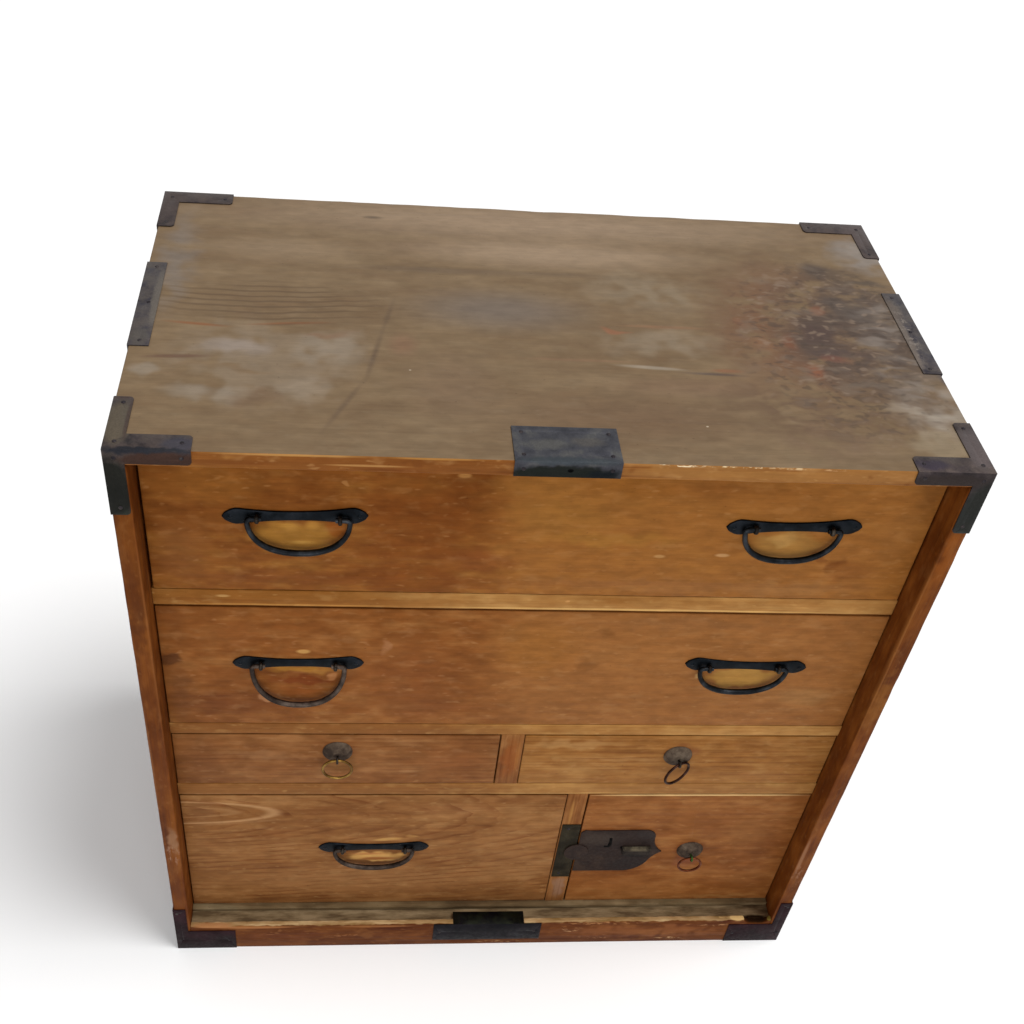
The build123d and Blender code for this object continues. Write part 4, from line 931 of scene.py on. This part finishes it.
# ---- Handles ------------------------------------------------------------------------
def split_pin(bm, pivot, towards, radius, wire, reach, flat):
    """Eye of a split pin round a pivot, its two legs running back into the surface, in mm."""
    gap = math.radians(28)
    loop = [gap + (2 * math.pi - 2 * gap) * i / 18 for i in range(19)]
    ring = [towards * radius * math.cos(t) + UP * radius * math.sin(t) for t in loop]
    leg = wire * 1.05
    inner = [towards * reach + UP * leg, towards * (radius + wire) + UP * leg]
    outer = [inner[1] - UP * 2 * leg, inner[0] - UP * 2 * leg]
    stations = [(pivot + point * MM, wire * MM) for point in inner + ring + outer]
    bar(bm, stations, towards.cross(UP), 10, flat)


def hanging_bar(pivot, across, normal, depth, half, pin_end, thin, thick, power, bend, sides=14):
    """Bail that hangs from two eyes, in mm: pins inwards, arms half apart, and a curve that
    thickens to its middle and is squarer for a higher power."""
    side = [(pin_end, 0.0), (half - bend, 0.0)]
    side += [(half - bend + bend * math.sin(t), bend - bend * math.cos(t)) for t in
             (math.radians(30), math.radians(60), math.radians(88))]
    steps = 30
    for i in range(1, steps):
        t = math.pi / 2 * i / steps
        a, b = half * math.cos(t) ** (2 / power), depth * math.sin(t) ** (2 / power)
        if b > bend * 1.3:
            side.append((a, b))
    stations = []
    for a, b in side + [(0.0, depth)] + [(-a, b) for a, b in reversed(side)]:
        grow = min(1.0, max(0.0, (b - bend) / (depth - bend))) ** 1.3
        stations.append((pivot + (across * a - UP * b) * MM, (thin + (thick - thin) * grow) * MM))
    bm = bmesh.new()
    bar(bm, stations, normal, sides)
    return bm


def plate_outline():
    """Outline of a bail plate in mm: narrow waist, flared shoulders, blunt pointed ends."""
    quarter = arc((0, 5.0), (26.0, 6.0), (48.0, 8.8), 8) + [(48.0, 8.8), (52.5, 9.0)]
    quarter += arc((56.0, 8.0), (61.0, 4.8), (64.0, 2.4), 4)
    right = quarter + [(64.5, 0.0)] + [(x, -y) for x, y in reversed(quarter)]
    return right + [(-x, y) for x, y in reversed(right)][1:-1]


PIVOT_OUT = 6.0 * MM
POST_X = 36.5
NAIL_X = 57.0
ROD = 2.3 * MM
Bail = namedtuple("Bail", "node tilt shift finish")
BAILS = {
    "top_drawer": (Bail("top_left_bail", -1.7, 3.0, bail_iron),
                   Bail("top_right_bail", -1.8, -1.5, bail_iron)),
    "second_drawer": (Bail("second_left_bail", -0.6, 0.0, brown_bail_iron),
                      Bail("second_right_bail", 1.8, -3.0, bail_iron)),
    "lower_left_drawer": (Bail("lower_left_bail", -0.5, 0.0, brown_bail_iron),),
}


def handles(drawer):
    """Plates, split pins and nail heads of one drawer, and its bails. A plate may be tilted by a
    degree or two, and the pins and the bail shifted on it by a few mm."""
    plates, pins, curves = bmesh.new(), bmesh.new(), []
    for bail in BAILS[drawer]:
        low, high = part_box(bail.node)
        middle = Vector(((low.x + high.x) / 2, FACE_Y, high.z - ROD))
        plate = bmesh.new()
        slab(plate, plate_outline(), 0.0, 1.9, 0.8, 3)
        turn = Matrix.Rotation(math.radians(bail.tilt), 4, "Y")
        bmesh.ops.transform(plate, matrix=Matrix.Translation(middle) @ turn, verts=plate.verts)
        joined(plates, plate)
        pivot = middle + RIGHT * bail.shift * MM - BACK * PIVOT_OUT
        for sign in (-1, 1):
            split_pin(pins, pivot + RIGHT * sign * POST_X * MM, BACK, 3.5, 1.15, 5.0, 1.6)
            sunk = sign * NAIL_X * math.sin(math.radians(bail.tilt))
            nail = middle + Vector((sign * NAIL_X, -1.7, -sunk)) * MM
            domed_head(plates, nail, -BACK, 2.4, 0.8)
        depth = (pivot.z - low.z - ROD) / MM
        curve = hanging_bar(pivot, RIGHT, BACK, depth, half=45.5, pin_end=32.5, thin=2.4, thick=3.1,
                            power=2.3, bend=3.5)
        uneven(curve, 0.15, 9.0, len(bail.node))
        curves.append(curve)
    show(plates, f"{drawer}_bail_plates", drawer, bail_plate_iron,
         (f"{drawer}_handle_mounts",))
    show(pins, f"{drawer}_bail_pins", drawer, eye_iron, (), 50.0)
    for bail, curve in zip(BAILS[drawer], curves):
        show(curve, f"{bail.node}_forged", bail.node, bail.finish, (bail.node,), 60.0)


for drawer in BAILS:
    handles(drawer)


# ---- Ring pulls ---------------------------------------------------------------------
# Radius and height in mm, from the middle of the back round the rim to the crown.
ROSETTE = ((0, 0), (16, 0), (16, 0.9), (15.3, 2), (14, 3.3), (11.5, 4.9), (8.7, 6), (5.5, 6.8), (2.5, 7.2),
           (0, 7.3))
RING_OUT = 12.5 * MM
RING_WIRE = 1.5 * MM


def ring_pull(drawer, ring_finish, eye_finish, yaw=0.0):
    """Domed rosette, split pin and free ring of one small drawer."""
    node = f"{drawer}_ring"
    low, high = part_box(node)
    mean = (high.z - low.z) / 2 - RING_WIRE
    pivot = Vector(((low.x + high.x) / 2, FACE_Y - RING_OUT, high.z - RING_WIRE))
    dome = bmesh.new()
    facing_front = Matrix.Rotation(math.pi / 2, 4, "X")
    spun(dome, ROSETTE, Matrix.Translation((pivot.x, FACE_Y, pivot.z)) @ facing_front)
    uneven(dome, 0.35, 6.0, len(drawer))
    show(dome, f"{drawer}_rosette", drawer, rosette_copper, (f"{drawer}_ring_mount",))
    pin = bmesh.new()
    split_pin(pin, pivot, BACK, 3.4, 0.85, 8.0, 1.4)
    show(pin, f"{drawer}_ring_eye", drawer, eye_finish, (), 50.0)
    ring = bmesh.new()
    circle = bmesh.ops.create_circle(ring, segments=10, radius=RING_WIRE)["verts"]
    bmesh.ops.translate(ring, vec=(mean, 0, 0), verts=circle)
    bmesh.ops.spin(ring, geom=circle + ring.edges[:], cent=(0, 0, 0), axis=(0, 1, 0), angle=2 * math.pi,
                   steps=44, use_merge=True)
    place = Matrix.Translation(pivot) @ Matrix.Rotation(math.radians(yaw), 4, "Z")
    bmesh.ops.transform(ring, matrix=place @ Matrix.Translation((0, 0, -mean)), verts=ring.verts)
    uneven(ring, 0.15, 5.0, mean)
    show(ring, f"{node}_wire", node, ring_finish, (node,), 60.0)


ring_pull("left_small_drawer", ring_brass, eye_iron)
ring_pull("right_small_drawer", ring_dark, eye_iron, 27.0)
ring_pull("locking_drawer", ring_red, verdigris)


# ---- Lock ---------------------------------------------------------------------------
PLATE = 1.5


def lock_outline():
    """Outline of the lock plate in mm: rounded right corners that run into a point."""
    points = [(99.4, 190.0), (99.4, 199.0), (104.0, 203.5), (110.0, 202.5), (179.0, 203.5)]
    points += arc((179.0, 203.5), (187.5, 198.5), (190.5, 188.0), 6)[1:]
    points += arc((190.5, 188.0), (194.0, 171.0), (203.0, 159.0), 6)
    points += arc((203.0, 159.0), (194.6, 151.0), (189.0, 141.0), 6)
    points += arc((189.0, 141.0), (179.0, 125.5), (162.0, 118.0), 8)
    return points + [(162.0, 118.0), (99.4, 118.0)]


def keyhole_outline():
    """Hook-shaped keyhole in mm."""
    return [(138.4, 188.6), (135.0, 188.6), (135.6, 182.0), (134.6, 172.4), (130.4, 172.4), (130.4, 169.0),
            (136.6, 169.0), (139.4, 173.0), (139.0, 182.0)]


def lock():
    """Plate, the round tongue that laps over the keeper, the keyhole and the end of the bolt's slot as
    near-black sheets of painted shade, and the bolt with its neck and rounded knob."""
    bm = bmesh.new()
    slab(bm, lock_outline(), FACE_Y, PLATE, 0.4)
    turns = [2 * math.pi * i / 36 for i in range(36)]
    tongue = [(98.0 + 14.5 * math.cos(t), 160.0 + 15.5 * math.sin(t)) for t in turns]
    slab(bm, tongue, FACE_Y - PLATE * MM, 1.3, 0.4)
    show(bm, "lock_plate_forged", "locking_drawer", lock_iron, ("lock_plate",))
    # The keyhole and the slot's end are thin near-black sheets: painted shade standing for the holes.
    holes = bmesh.new()
    slab(holes, keyhole_outline(), FACE_Y - PLATE * MM, 0.12, 0.05)
    slot_end = [(150.6, 168.0), (151.2, 170.8), (154.4, 171.0), (155.2, 166.0), (152.0, 165.6)]
    slab(holes, slot_end, FACE_Y - PLATE * MM, 0.06, 0.03)
    show(holes, "lock_plate_holes", "locking_drawer", painted_hole_shade, (), 60.0)
    bolt = cad_copy("lock_bolt")
    soften(bolt, 0.9, 3)
    show(bolt, "lock_bolt_rubbed", "lock_bolt", knob_iron, ("lock_bolt",))


lock()


# ---- Carrying handles ---------------------------------------------------------------
ESCUTCHEON = ((0, 0), (15, 0), (15, 0.7), (14.2, 1.2), (0, 1.2))
CARRY_ROD = 4.0 * MM
CARRY_EYE_Y = 47.0 * MM


def carrying_handles():
    """Escutcheons and eyes on both sides, and the two heavy bails."""
    mounts = bmesh.new()
    for name, sign in (("left", -1.0), ("right", 1.0)):
        node = f"{name}_carrying_handle"
        low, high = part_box(node)
        pivot = Vector(((low.x + high.x) / 2, (low.y + high.y) / 2, high.z - CARRY_ROD))
        turn = Matrix.Rotation(sign * math.pi / 2, 4, "Y")
        for end in (-1, 1):
            eye = pivot + BACK * end * CARRY_EYE_Y
            disc = bmesh.new()
            spun(disc, ESCUTCHEON, Matrix.Translation((sign * SIDE_X, eye.y, eye.z)) @ turn)
            joined(mounts, disc)
            split_pin(mounts, eye, RIGHT * -sign, 6.4, 2.0, 10.5, 1.7)
        depth = (pivot.z - low.z - CARRY_ROD) / MM
        curve = hanging_bar(pivot, BACK, RIGHT, depth, half=60.0, pin_end=40.0, thin=3.8, thick=4.0,
                            power=3.6, bend=6.0, sides=16)
        show(curve, f"{node}_forged", node, carry_iron, (node,), 60.0)
    show(mounts, "carrying_handle_eyes", "case", carry_iron, ("carrying_handle_mounts",),
         50.0)


carrying_handles()


# ---- Camera, floor and light --------------------------------------------------------
def set_camera():
    """Looks down on the front left of the chest, with a slight roll."""
    yaw, pitch, roll = (math.radians(angle) for angle in (8.436, 42.943, 6.941))
    aim = Vector((math.sin(yaw) * math.cos(pitch), math.cos(yaw) * math.cos(pitch), -math.sin(pitch)))
    level = aim.cross(UP).normalized()
    above = level.cross(aim)
    right = level * math.cos(roll) + above * math.sin(roll)
    up = above * math.cos(roll) - level * math.sin(roll)
    data = bpy.data.cameras.new("camera")
    data.sensor_width = 36.0
    data.lens = 44.41
    data.shift_x, data.shift_y = 0.0227, 0.0292
    camera = bpy.data.objects.new("camera", data)
    bpy.context.scene.collection.objects.link(camera)
    turn = Matrix((right, up, -aim)).transposed().to_4x4()
    camera.matrix_world = Matrix.Translation((-0.17641, -1.01940, 1.45469)) @ turn
    bpy.context.scene.camera = camera


def lamp(data, at, aim):
    """Puts a lamp in the scene, shining along aim."""
    light = bpy.data.objects.new(data.name, data)
    bpy.context.scene.collection.objects.link(light)
    light.location = at
    light.rotation_mode = "QUATERNION"
    light.rotation_quaternion = aim.to_track_quat("-Z", "Y")


def set_floor():
    """Pale floor that the camera sees almost white."""
    bm = bmesh.new()
    bmesh.ops.create_grid(bm, x_segments=1, y_segments=1, size=8.0)
    mesh = bpy.data.meshes.new("floor")
    bm.to_mesh(mesh)
    bm.free()
    floor = bpy.data.objects.new("floor", mesh)
    bpy.context.scene.collection.objects.link(floor)
    material, tree, _ = begin("pale_floor")
    paint = add(tree, "BsdfDiffuse", Color=srgb("f3f3f3"))
    lift = add(tree, "Emission", Color=srgb("ffffff"), Strength=0.11)
    lifted = add(tree, "AddShader", Shader=paint, Shader_001=lift)
    seen = add(tree, "LightPath", out="Is Camera Ray")
    add(tree, "OutputMaterial", Surface=add(tree, "MixShader", Fac=seen, Shader=paint, Shader_001=lifted))
    floor.data.materials.append(material)


def set_sky():
    """Plain sky: white to the camera and in reflections, softer as light."""
    world = bpy.data.worlds.new("sky")
    bpy.context.scene.world = world
    world.use_nodes = True
    tree = world.node_tree
    tree.nodes.clear()
    seen = add(tree, "LightPath", out="Is Camera Ray")
    mirrored = seen.node.outputs["Is Glossy Ray"]
    direct = add(tree, "Math", {"operation": "MAXIMUM"}, Value=seen, Value_001=mirrored)
    soft = add(tree, "Background", Color=srgb("ffffff"), Strength=0.42)
    white = add(tree, "Background", Color=srgb("ffffff"), Strength=1.0)
    add(tree, "OutputWorld", Surface=add(tree, "MixShader", Fac=direct, Shader=soft, Shader_001=white))


def set_lamps():
    """A wide sun from high at the back left, and a soft square fill in front."""
    high = bpy.data.lights.new("high_soft_light", "SUN")
    high.energy, high.angle = 2.2, math.radians(28)
    lamp(high, (0, 0, 0), Vector((-0.42, 0.1, -1.0)))
    fill = bpy.data.lights.new("fill", "AREA")
    fill.shape, fill.size, fill.energy = "SQUARE", 1.6, 20.0
    at = Vector((-0.1, -2.7, 0.8))
    lamp(fill, at, Vector((0.0, 0.0, 0.35)) - at)


bpy.context.scene.view_settings.view_transform = "Standard"
set_camera()
set_floor()
set_sky()
set_lamps()
